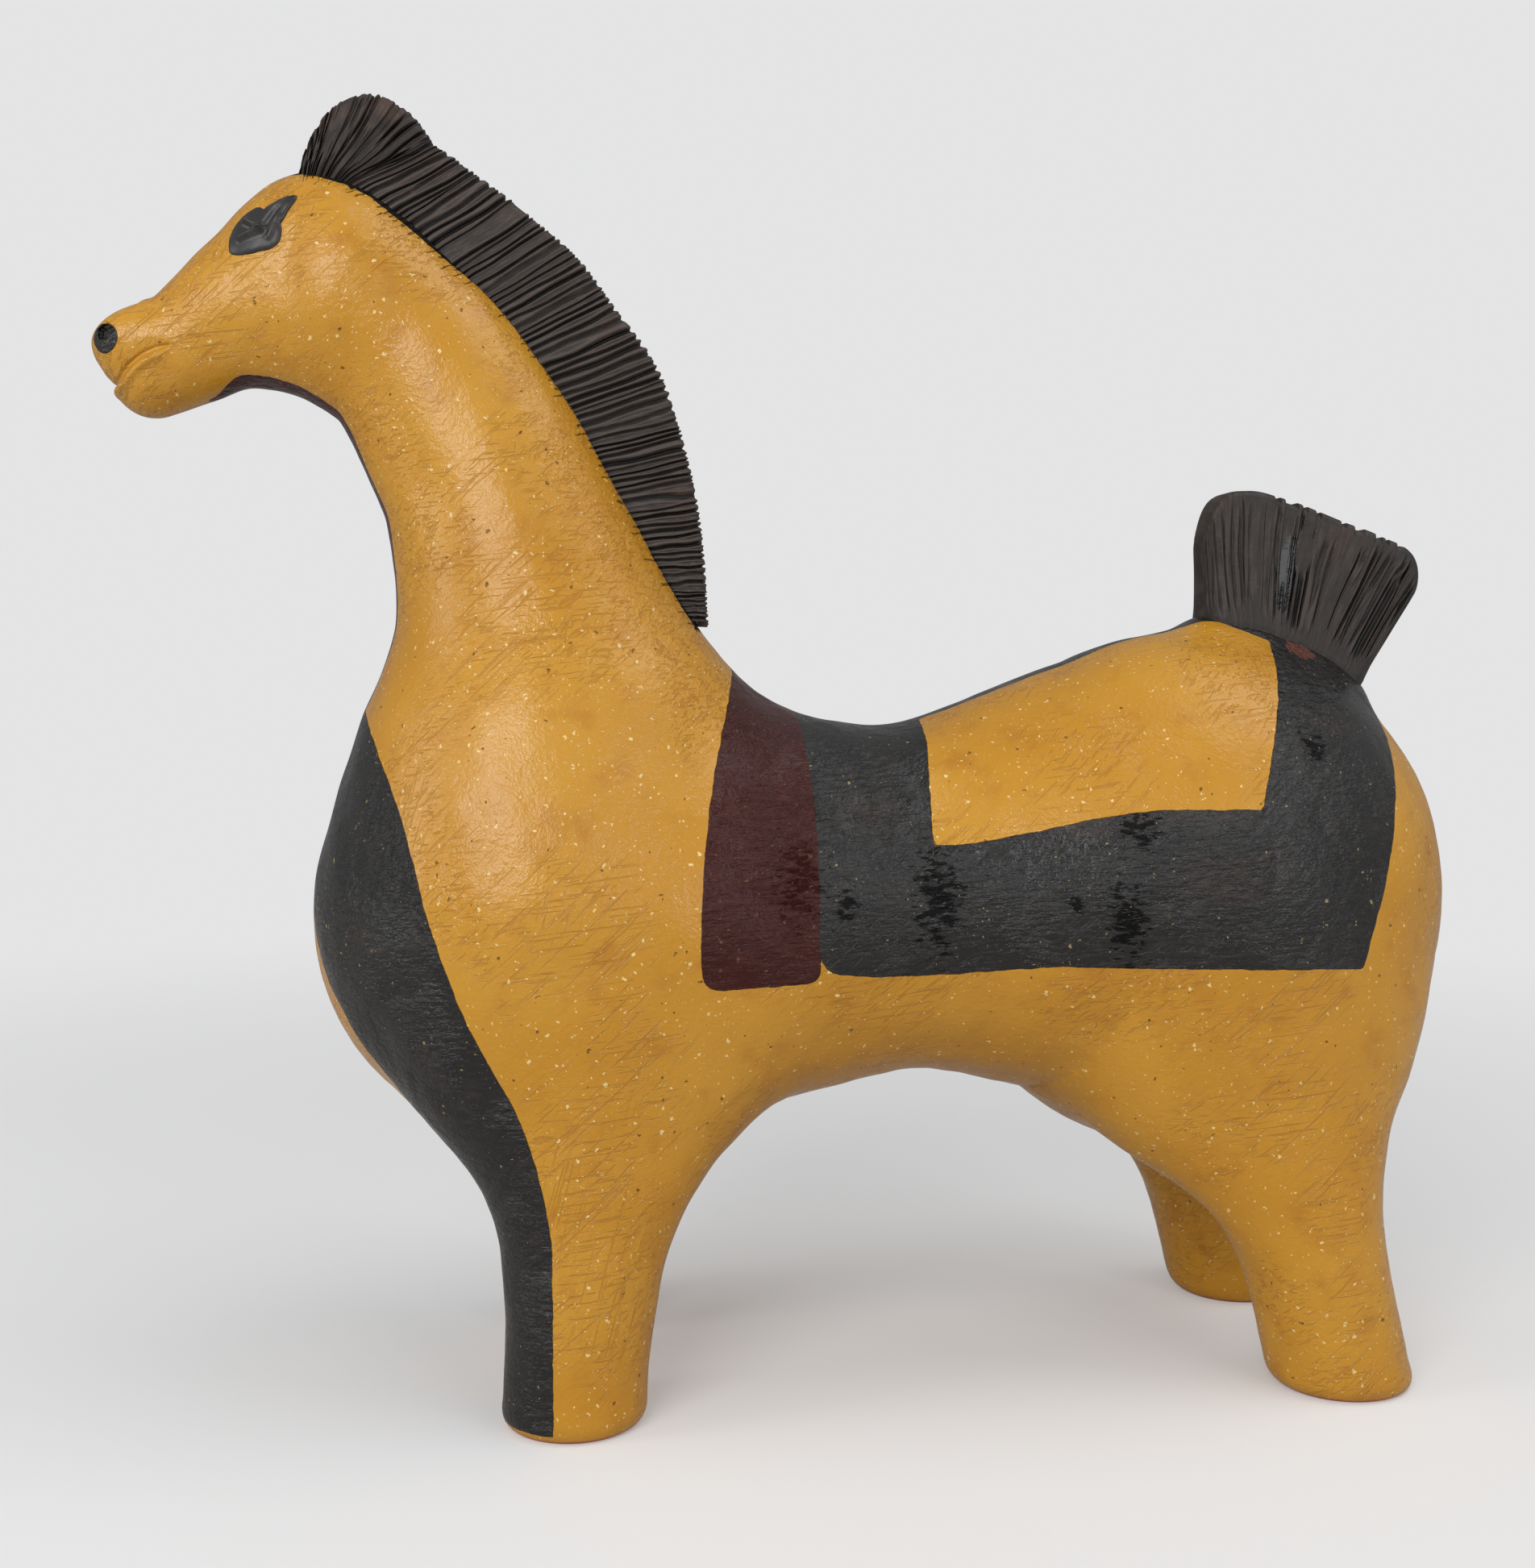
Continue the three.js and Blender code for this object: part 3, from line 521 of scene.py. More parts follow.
@dataclass(frozen=True)
class FaceMarks:
    """Tool marks in the head: two pierced nostrils and the drawn mouth line with its lip."""

    body: ClayBody
    nostril: Pair = NOSTRIL
    nostril_half: float = 1.6
    nostril_depth: float = 8.0
    mouth: tuple[Pair, ...] = (
        (-98.5, 217.6), (-95.4, 218.4), (-93.6, 219.3), (-92.0, 220.9), (-90.2, 222.6), (-87.9, 224.1),
        (-85.5, 225.2), (-82.8, 225.9),
    )
    mouth_half: float = 0.45
    mouth_depth: float = 0.8
    mouth_corner: float = -81.5
    mouth_front: float = -98.0
    mouth_fade: float = 5.0
    lip: float = 0.85
    lip_below: float = 1.7
    lip_half: float = 0.9
    press: float = 0.3
    press_above: float = 1.2

    def mouth_offset(self, p: Array) -> tuple[Array, Array]:
        """Where points lie against the mouth line in the side view: the nearest of its short lengths counts.

        Args:
            p: Points in the stance frame.

        Returns:
            The distance from the line, and the side: 1 above it, -1 below.
        """
        t = np.linspace(0.0, 1.0, 25)
        path = np.stack([through(column, t) for column in np.array(self.mouth).T], axis=1)
        best, side = np.full(len(p), np.inf), np.zeros(len(p))
        for a, b in zip(path[:-1], path[1:]):
            d = b - a
            off = p[:, [0, 2]] - a
            t = np.clip(off @ d / (d @ d), 0.0, 1.0)
            gap = off - t[:, None] * d
            far = np.linalg.norm(gap, axis=1)
            closer = far < best
            best = np.where(closer, far, best)
            side = np.where(closer, d[0] * gap[:, 1] - d[1] * gap[:, 0], side)
        return best, np.sign(side)

    def distance(self, p: Array) -> Array:
        """The clay's distance, less the lip under the mouth, cut by the mouth line and the nostrils.

        The lip is a Gaussian ridge below the line, with a shallow press above it. The line is cut where a
        point lies within its half width and less than its depth under the skin. A nostril is a bore along Y
        with an uneven wall.

        Args:
            p: Points in the stance frame.

        Returns:
            The signed distance, negative inside the clay.
        """
        skin = self.body.distance(p)
        off, side = self.mouth_offset(p)
        below = np.where(side < 0, off, -off)
        back = ease((self.mouth_corner - p[:, 0]) / self.mouth_fade)
        ahead = ease((p[:, 0] - self.mouth_front) / self.mouth_fade)
        skin = skin - back * ahead * self.lip * np.exp(-(((below - self.lip_below) / self.lip_half) ** 2))
        skin = skin + self.press * back * np.exp(-((below + self.press_above) ** 2))
        line = carve(off - self.mouth_half * (0.35 + 0.65 * back), -(skin + self.mouth_depth), 0.4)
        skin = carve(skin, -line, 1.1)
        dx, dz = p[:, 0] - self.nostril[0], p[:, 2] - self.nostril[1]
        turn = np.arctan2(dz, dx)
        uneven = 1.0 + 0.13 * np.sin(2 * turn + 0.6) + 0.07 * np.sin(5 * turn + 1.0)
        bore = np.hypot(dx, dz) - self.nostril_half * uneven
        bore = carve(bore, -(skin + self.nostril_depth), 1.2)
        return carve(skin, -bore, 0.6)


@dataclass(frozen=True)
class Livery:
    """Painted bands of the clay, as distances in millimetres inside each band's edge in the side view."""

    stance: Stance = Stance()
    girth_front: float = 25.9
    girth_bow: float = 9.7
    girth_bottom: float = 93.1
    blanket_front: float = 50.4
    blanket_rear: float = 166.0
    rear_lean: float = 0.33
    hem: tuple[float, ...] = (95.8, 94.4, 94.4, 95.2, 96.1, 95.7, 95.8, 95.8, 95.4, 94.8)
    window_front: float = 75.0
    window_sill: float = 121.2
    window_rear: float = 143.0
    spine_half: Pair = (4.2, 14.0)
    chest_edge: tuple[float, ...] = (-4.4, -4.5, -4.9, -10.0, -20.5, -28.3, -34.3, -43.5)
    throat_half: float = 6.0
    throat_axis: tuple[float, ...] = (-2.2, -7.2, -14.5, -21.0, -32.4, -45.9)
    nostril_blot: Pair = (-96.0, 227.4)
    stain_at: Pair = (165.5, 162.6)
    blots: tuple[tuple[Side, float, float, float, float], ...] = (
        (Side.LEFT, 75.4, 110.5, 5.5, 11.0), (Side.LEFT, 117.5, 124.5, 4.5, 4.0),
        (Side.LEFT, 114.5, 106.0, 5.0, 9.0), (Side.LEFT, 103.6, 109.0, 1.8, 3.2),
        (Side.LEFT, 56.2, 109.5, 2.6, 4.5), (Side.LEFT, 46.3, 114.5, 4.6, 9.5),
        (Side.LEFT, 157.6, 141.0, 3.2, 3.6), (Side.LEFT, *NOSTRIL, 2.0, 2.0),
        (Side.RIGHT, 88.0, 108.0, 6.0, 9.0), (Side.RIGHT, 140.0, 108.0, 5.0, 10.0),
        (Side.RIGHT, 36.0, 108.0, 5.0, 10.0), (Side.RIGHT, *NOSTRIL, 2.0, 2.0),
    )
    outside: float = -9.0

    def girth(self, p: Array) -> Array:
        """The maroon girth: between its bowed front edge and the blanket, over the back."""
        x, z = p[:, 0], p[:, 2]
        front = self.girth_front + self.girth_bow * (np.maximum(z - 103.0, 0.0) / 53.0) ** 2
        foot = z - self.girth_bottom + 0.4 - 0.035 * (x - 26.0)
        return melt(melt(x - front, foot, 5.0), self.blanket_front + 0.3 - x, 3.5)

    def window(self, p: Array) -> Array:
        """The ochre panel left in the blanket, up to the band along the spine."""
        x, z = p[:, 0], p[:, 2]
        front = x - self.window_front - 4.0 * ((z - 121.0) / 26.0) ** 2
        sill = z - self.window_sill - 7.5 * ease((x - self.window_front) / 50.0)
        dz = z - 128.6
        rear = self.window_rear + self.rear_lean * dz + 0.0028 * dz * dz - x
        narrow, wide = self.spine_half
        spine = narrow + (wide - narrow) * ease((x - 138.0) / 26.0)
        return melt(melt(melt(front, sill, 0.5), rear, 0.5), np.abs(p[:, 1]) - spine, 1.0)

    def blanket(self, p: Array) -> Array:
        """The black blanket: from the girth to its slanted rear edge, less the window."""
        x, z = p[:, 0], p[:, 2]
        hem = through(self.hem, (x - 50.0) / 116.0)
        rear = self.blanket_rear + self.rear_lean * (z - 94.7) - x
        cloth = melt(melt(x - self.blanket_front, z - hem, 5.0), rear, 0.8)
        return np.minimum(cloth, -self.window(p))

    def chest(self, p: Array) -> Array:
        """The black stripe down the chest and the front of the foreleg, parted in the middle."""
        z = p[:, 2]
        outer = through(self.chest_edge, (z - 2.0) / 147.0) - p[:, 0]
        inner = np.abs(p[:, 1]) - np.clip(0.64 * (119.0 - z), 0.0, 21.0)
        return np.minimum(np.minimum(outer, inner), np.minimum(150.0 - z, z - 2.0))

    def throat(self, p: Array) -> Array:
        """The maroon stripe under the jaw and down the front of the neck."""
        x, z = p[:, 0], p[:, 2]
        side = self.throat_half * (0.25 + 0.75 * ease((x + 76.5) / 8.0)) - np.abs(p[:, 1])
        axis = through(self.throat_axis, (z - self.stance.neck_foot[1]) / self.stance.neck_rise)
        return np.minimum(np.minimum(side, axis - 6.0 - x), np.minimum(x + 76.0, 226.0 - z))

    def nostrils(self, p: Array) -> Array:
        """The black blot round each nostril."""
        dx, dz = p[:, 0] - self.nostril_blot[0], p[:, 2] - self.nostril_blot[1]
        return np.where(np.abs(p[:, 1]) > 2.0, 3.0 - np.hypot(1.02 * dx, 0.98 * dz), self.outside)

    def black(self, p: Array) -> Array:
        """All the black slip."""
        return np.maximum(np.maximum(self.blanket(p), self.chest(p)), self.nostrils(p))

    def maroon(self, p: Array) -> Array:
        """All the maroon slip."""
        return np.maximum(self.girth(p), self.throat(p))

    def bare(self, p: Array) -> Array:
        """The wiped soles, bare clay."""
        return 0.75 - p[:, 2]

    def stain(self, p: Array) -> Array:
        """A rubbed reddish smear in front of the tail."""
        dx, dz = p[:, 0] - self.stain_at[0], p[:, 2] - self.stain_at[1]
        off = np.hypot(dx / 4.6, (dz + 0.25 * dx) / 1.7)
        return np.where(p[:, 1] < 0.0, 2.0 * (1.0 - off), self.outside)

    def gloss(self, p: Array) -> Array:
        """Blots of thick glossy slip on the blanket, other ones on the far side."""
        best = np.full(len(p), self.outside)
        for side, x, z, wide, tall in self.blots:
            inside = 4.0 * (1.0 - np.hypot((p[:, 0] - x) / wide, (p[:, 2] - z) / tall))
            best = np.maximum(best, np.where(p[:, 1] * side.value > 0, inside, self.outside))
        return best


@dataclass(frozen=True)
class Rulings:
    """The straight lines that a crest is ruled with: foot on the clay, direction and length of each."""

    foot: Array
    way: Array
    length: Array
    phase: Array


@dataclass(frozen=True)
class Crest:
    """A combed crest pressed on to the clay: a tapering fin of rulings, scored along every ruling.

    The surface is a grid of columns, one per ruling, by a ring round the fin's section: up one side,
    round the rim and down the other. A point is foot + way times its height + Y times the half width,
    and the scored strokes press it in along the ring's own normal.
    """

    name: str
    node: str
    front: float
    back: float
    above: float
    rise: float
    shares: tuple[float, ...]
    angles: tuple[float, ...]
    base: float
    rim: float
    strokes: int
    score_half: float
    score_depth: float
    notch: float
    flare: float
    seed: int
    round_front: float = 0.0
    round_back: float = 0.0
    wander: float = 0.25
    wobble: float = 0.08
    skip: float = 0.05
    ends: Triple = (-0.6, 1.6, 0.1)
    force: tuple[float, ...] = (1.0, 1.0)
    burr: float = 0.4
    teeth: float = 0.0
    teeth_span: Pair = (0.0, 1.0)
    wet: Quad = NOWHERE
    calm: Quad = NOWHERE
    sink: float = 5.0
    rim_round: float = 2.2
    columns: int = 16

    def rulings(self, body: ClayBody) -> Rulings:
        """Works out the rulings, evenly spaced along the foot.

        Args:
            body: The clay that carries the crest.

        Returns:
            The rulings, with the stroke number of each as its phase.
        """
        x = np.linspace(self.front, self.back, 600)
        z = body.top(x, self.above)
        along = np.concatenate([[0.0], np.cumsum(np.hypot(np.diff(x), np.diff(z)))])
        t = np.linspace(0.0, 1.0, self.strokes * self.columns + 1)
        x = np.interp(t * along[-1], along, x)
        z = body.top(x, self.above)
        share = (x - self.front) / (self.back - self.front)
        angle = np.radians(through(self.angles, share))
        dice = np.random.default_rng(self.seed)
        drift = sum(a * np.sin(2 * math.pi * (n * t + p)) for a, n, p in
                    zip((0.4, 0.25, 0.18, 0.12), (3, 7, 13, 24), dice.uniform(0, 1, 4)))
        return Rulings(
            foot=np.stack([x, z], axis=1),
            way=np.stack([np.cos(angle), np.sin(angle)], axis=1),
            length=self.rise * through(self.shares, share),
            phase=t * self.strokes + drift,
        )

    def ring(self) -> tuple[Array, Array, Array, Array]:
        """The fin's section, from the sunk foot on one side over the rim to the foot on the other.

        Returns:
            Per ring point: the share of the height under the rounded rim, the turn round the rim's
            corner from 0 to a quarter, the share of the half width on the flat top, and the side.
        """
        rise = np.concatenate([np.linspace(0.0, 0.2, 8), np.linspace(0.24, 1.0, 21)])
        corner = np.linspace(0.0, 1.0, 7)[1:] * math.pi / 2
        top = np.linspace(1.0, 0.0, 5)[1:]
        share = np.concatenate([rise, np.ones(len(corner) + len(top))])
        turn = np.concatenate([np.zeros(len(rise)), corner, np.full(len(top), math.pi / 2)])
        flat = np.concatenate([np.ones(len(rise) + len(corner)), top])
        side = np.full(len(share), -1.0)
        back = slice(-2, None, -1)
        return tuple(np.concatenate([part, mark * part[back]])
                     for part, mark in ((share, 1.0), (turn, 1.0), (flat, 1.0), (side, -1.0)))

    def score(self, phase: Array, height: Array, side: Array) -> Array:
        """Depth of the scored strokes, from 1 in a groove to a little below 0 on its burrs.

        Each stroke is a groove along a whole phase number, with its own seeded depth, width, lean and
        ends. Its section is a Gaussian dip with a lower Gaussian burr on each side.

        Args:
            phase: The ruling's stroke number at each grid point.
            height: The share of the ruling's height there.
            side: The side of the fin there.

        Returns:
            The groove's depth at each grid point.
        """
        dice = np.random.default_rng(self.seed + 1)
        many = 2, self.strokes + 8
        deep = dice.uniform(0.4, 1.0, many) * (dice.uniform(0.0, 1.0, many) > self.skip)
        wide = self.score_half * dice.uniform(0.65, 1.35, many)
        lean = dice.normal(0.0, self.wander, many)
        wave = dice.uniform(0, 2 * math.pi, many)
        low = self.ends[0] + self.ends[2] * dice.uniform(-1.0, 1.0, many)
        high = self.ends[1] + self.ends[2] * dice.uniform(-1.0, 1.0, many)
        face = (side > 0).astype(int)
        depth = np.zeros(phase.shape)
        for near in (-1, 0, 1):
            number = np.clip(np.round(phase).astype(int) + near + 2, 0, many[1] - 1)
            pick = face, number
            shake = np.sin(7.0 * height + wave[pick]) - np.sin(wave[pick])
            sway = lean[pick] * height + self.wobble * shake
            off = np.abs(phase - (number - 2) - sway) / wide[pick]
            section = np.exp(-off * off) - self.burr * np.exp(-(((off - 2.0) / 0.8) ** 2))
            reach = ease((height - low[pick]) / 0.07) * ease((high[pick] - height) / 0.07)
            depth = depth + deep[pick] * section * reach
        return np.clip(depth, -0.5, 1.0)

    @staticmethod
    def spot(share: Array, height: Array, at: Quad) -> Array:
        """How far inside an oval spot points lie: 1 in its middle, 0 on its edge, less outside."""
        return 1.0 - np.hypot((share - at[0]) / at[2], (height - at[1]) / at[3])

    def build(self, body: ClayBody) -> bpy.types.Mesh:
        """Builds the crest's closed mesh with its attributes.

        Args:
            body: The clay that carries the crest.

        Returns:
            The mesh, with the strokes' depth, the height's share and the phase stored per vertex.
        """
        rule = self.rulings(body)
        share, turn, flat, side = self.ring()
        count = len(rule.length)
        arc = np.concatenate([[0.0], np.cumsum(np.linalg.norm(np.diff(rule.foot, axis=0), axis=1))])
        ends = np.ones(count)
        for reach, off in ((self.round_front, arc), (self.round_back, arc[-1] - arc)):
            if reach:
                ends = ends * np.sqrt(np.maximum(1.0 - (1.0 - np.minimum(off / reach, 1.0)) ** 2, 0.004))
        phase = np.repeat(rule.phase[:, None], len(share), axis=1)
        place = np.linspace(0.0, 1.0, count)[:, None]
        toothed = ease((place - self.teeth_span[0]) / 0.05) * ease((self.teeth_span[1] - place) / 0.05)
        square = np.clip(np.sin(2 * math.pi * 0.65 * phase) * 3.0, -1.0, 1.0)
        bevel = np.minimum(self.rim_round, 0.45 * self.rim * ends)[:, None]
        length = rule.length[:, None] - 0.5 * self.teeth * toothed * (1.0 + square)
        under = (length - bevel + self.sink) * share - self.sink
        height = np.clip(under / length, 0.0, 1.0)
        full = (self.rim + (self.base - self.rim) * (1.0 - height) ** 2) / 2
        half = full * ends[:, None] + self.flare * np.exp(-np.maximum(under, 0.0) / 3.0)
        lift = under + bevel * np.sin(turn)
        wide = (half - bevel) * flat + bevel * np.cos(turn)
        rise = np.clip(lift / length, 0.0, 1.0)
        groove = self.score(phase, rise, side[None, :] + 0 * phase) * ease((lift + 4.0) / 1.5)
        groove = groove * through(self.force, place) * (1.0 - ease(4.0 * self.spot(place, rise, self.calm)))
        press = groove * np.where(turn > 0.6, self.notch, self.score_depth)
        press = np.minimum(press, 0.8 * wide + 0.3)
        wide = wide - press * np.cos(turn)
        lift = lift - press * np.sin(turn)
        points = np.stack([
            rule.foot[:, :1] + rule.way[:, :1] * lift,
            wide * side,
            rule.foot[:, 1:] + rule.way[:, 1:] * lift,
        ], axis=-1)
        number = np.arange(count * len(share)).reshape(count, -1)
        faces = grid_quads(number) + [number[0].tolist(), number[-1, ::-1].tolist()]
        mesh = mesh_of(self.name, points.reshape(-1, 3), faces)
        face_out(mesh)
        for name, values in (("comb_depth", groove), ("comb_rise", rise), ("comb_phase", phase),
                             ("comb_wet", self.spot(place, rise, self.wet))):
            write_attribute(mesh, name, values.ravel())
        return mesh

    def over_clay(self, rule: Rulings, p: Array) -> tuple[Array, Array]:
        """Where points of the clay lie against the crest's rulings, in the side view.

        Args:
            rule: The crest's rulings.
            p: Points of the clay.

        Returns:
            The stroke number at each point, and how far along its ruling the point lies, both with a
            far value where the crest isn't near.
        """
        def place(q: Array) -> Array:
            """The number and the height of each point on its nearest ruling."""
            off = q[:, None, [0, 2]] - rule.foot[None, ::4]
            way = rule.way[None, ::4]
            along = (off * way).sum(-1)
            across = np.abs(off[..., 0] * way[..., 1] - off[..., 1] * way[..., 0])
            best = np.argmin(across + 9.0 * (np.abs(along) > 16.0), axis=1)
            line = np.arange(len(q)), best
            near = across[line] < 1.5
            return np.stack([rule.phase[::4][best], np.where(near, along[line], -FAR)], axis=1)

        found = by_chunks(place, p, 4000)
        return found[:, 0], found[:, 1]


@dataclass(frozen=True)
class ClayPiece:
    """One luted piece of the clay skin: its box, the size of its net and the planes that part it."""

    name: str
    node: str
    low: Triple
    high: Triple
    cell: float
    seams: tuple[tuple[Triple, Triple], ...]
    ring: float = 0.15

    def build(self, f: Field) -> bpy.types.Mesh:
        """Nets the skin in the box, cuts it at the seams, closes the cuts and sets its normals.

        Args:
            f: The clay's distance.

        Returns:
            The closed mesh, with normals from the field's gradient on the skin and flat cuts.
        """
        mesh = mesh_of(self.name, *skin_net(f, self.low, self.high, self.cell))
        edit = bmesh.new()
        edit.from_mesh(mesh)
        for spot, out in self.seams:
            bmesh.ops.bisect_plane(
                edit, geom=edit.verts[:] + edit.edges[:] + edit.faces[:], dist=2e-6,
                plane_co=to_row(np.array(spot)).tolist(), plane_no=out, clear_outer=True)
        cuts = bmesh.ops.holes_fill(edit, edges=edit.edges[:], sides=0)["faces"]
        bmesh.ops.recalc_face_normals(edit, faces=edit.faces)
        bmesh.ops.inset_individual(edit, faces=cuts, thickness=self.ring * MM, use_even_offset=False)
        edit.to_mesh(mesh)
        edit.free()
        mesh.shade_smooth()
        self.set_normals(mesh, f)
        return mesh

    def set_normals(self, mesh: bpy.types.Mesh, f: Field) -> None:
        """Gives each skin point the field's gradient as its normal, and each cut inside its ring its own.

        Args:
            mesh: The closed mesh.
            f: The clay's distance.
        """
        normals = unit(slope(f, points_of(mesh)))
        vertex = np.empty(len(mesh.loops), np.int32)
        mesh.loops.foreach_get("vertex_index", vertex)
        sides = np.empty(len(mesh.polygons), np.int32)
        mesh.polygons.foreach_get("loop_total", sides)
        flat = np.empty(3 * len(mesh.polygons), np.float32)
        mesh.polygons.foreach_get("normal", flat)
        cut = np.repeat(sides > 5, sides)
        normals[vertex[cut]] = np.repeat(flat.reshape(-1, 3), sides, axis=0)[cut]
        mesh.normals_split_custom_set_from_vertices(normals.tolist())


@dataclass(frozen=True)
class EyePellet:
    """A pinched pellet of black clay on the head, with a point drawn back and up.

    A polar grid in the plane that touches the head: the outline is a smooth closed curve through seeded
    readings of its radius, the height a flat dome with two ridges and a crease, and every point is moved
    along the plane's normal on to the head's skin before the height is added.
    """

    side: Side
    centre: Pair = (-63.6, 250.3)
    outline: tuple[Pair, ...] = (
        (-90.0, 5.5), (-45.0, 6.1), (0.0, 4.9), (22.0, 7.0), (37.0, 10.9), (48.0, 8.2), (58.0, 6.2),
        (75.0, 4.1), (95.0, 5.2), (120.0, 5.3), (150.0, 5.7), (180.0, 6.6), (217.0, 8.3), (245.0, 6.4),
        (270.0, 5.5),
    )
    ridges: tuple[tuple[float, float, float, float, float], ...] = (
        (-2.8, 1.7, 1.0, -1.1, 1.25), (-3.7, -2.4, 1.0, -1.1, 1.15), (1.0, -1.1, 4.4, 3.4, -0.6),
        (2.6, -3.0, 4.6, 1.0, 0.55),
    )
    plateau: float = 0.75
    sunk: float = 0.8
    turns: int = 144
    rings: int = 34

    def heights(self, u: Array, v: Array, reach: Array) -> Array:
        """Height over the head: a dome that falls off at its rim, plus Gaussian ridges along short lines.

        Args:
            u: Places backward in the plane that touches the head.
            v: Places upward in it.
            reach: The share of the outline's radius there.

        Returns:
            The heights.
        """
        high = self.plateau * np.sqrt(np.clip(1.0 - reach ** 6, 0.0, 1.0))
        for au, av, bu, bv, size in self.ridges:
            du, dv = bu - au, bv - av
            t = np.clip(((u - au) * du + (v - av) * dv) / (du * du + dv * dv), 0.0, 1.0)
            off = np.hypot(u - au - t * du, v - av - t * dv)
            high = high + size * np.exp(-((off / 0.7) ** 2)) * (1.0 - reach ** 4)
        return high

    def build(self, f: Field) -> bpy.types.Mesh:
        """Builds the pellet's closed mesh.

        Args:
            f: The head's distance.

        Returns:
            The mesh: a domed top, and a bottom sunk into the head.
        """
        sign = self.side.value
        seat = np.array([[self.centre[0], 14.0 * sign, self.centre[1]]])
        for _ in range(40):
            seat[:, 1] -= sign * f(seat)
        normal = unit(slope(f, seat))[0]
        back = np.array([1.0, 0.0, 0.0])
        back = unit(back - (back @ normal) * normal)
        up = np.cross(back, normal)
        up = up if up[2] > 0 else -up
        theta = np.linspace(0.0, 2 * math.pi, self.turns, endpoint=False)
        angles, radii = np.array(self.outline).T
        rim = np.interp(np.degrees(theta), np.concatenate([angles, angles[1:] + 360.0]),
                        np.concatenate([radii, radii[1:]]))
        rim = np.convolve(np.concatenate([rim[-2:], rim, rim[:2]]), [0.1, 0.2, 0.4, 0.2, 0.1], "valid")
        reach = np.linspace(0.0, 1.0, self.rings)[1:, None] ** 0.8
        u = reach * rim * np.cos(theta)
        v = reach * rim * np.sin(theta)
        plane = seat[0] + u[..., None] * back + v[..., None] * up
        flat = plane.reshape(-1, 3)
        for _ in range(6):
            flat = flat - f(flat)[:, None] * normal
        base = flat.reshape(plane.shape)
        top = base + self.heights(u, v, reach)[..., None] * normal
        floor = base[-1:] - self.sunk * normal
        crown = seat + (self.plateau + 0.3) * normal
        points = np.concatenate([crown, top.reshape(-1, 3), floor.reshape(-1, 3), seat - self.sunk * normal])
        number = 1 + np.arange(self.rings * self.turns).reshape(self.rings, self.turns)
        faces = grid_quads(number) + fan(0, number[0]) + fan(len(points) - 1, number[-1])
        mesh = mesh_of(f"eye_pellet_{self.side.name.lower()}", points, faces)
        face_out(mesh)
        return mesh


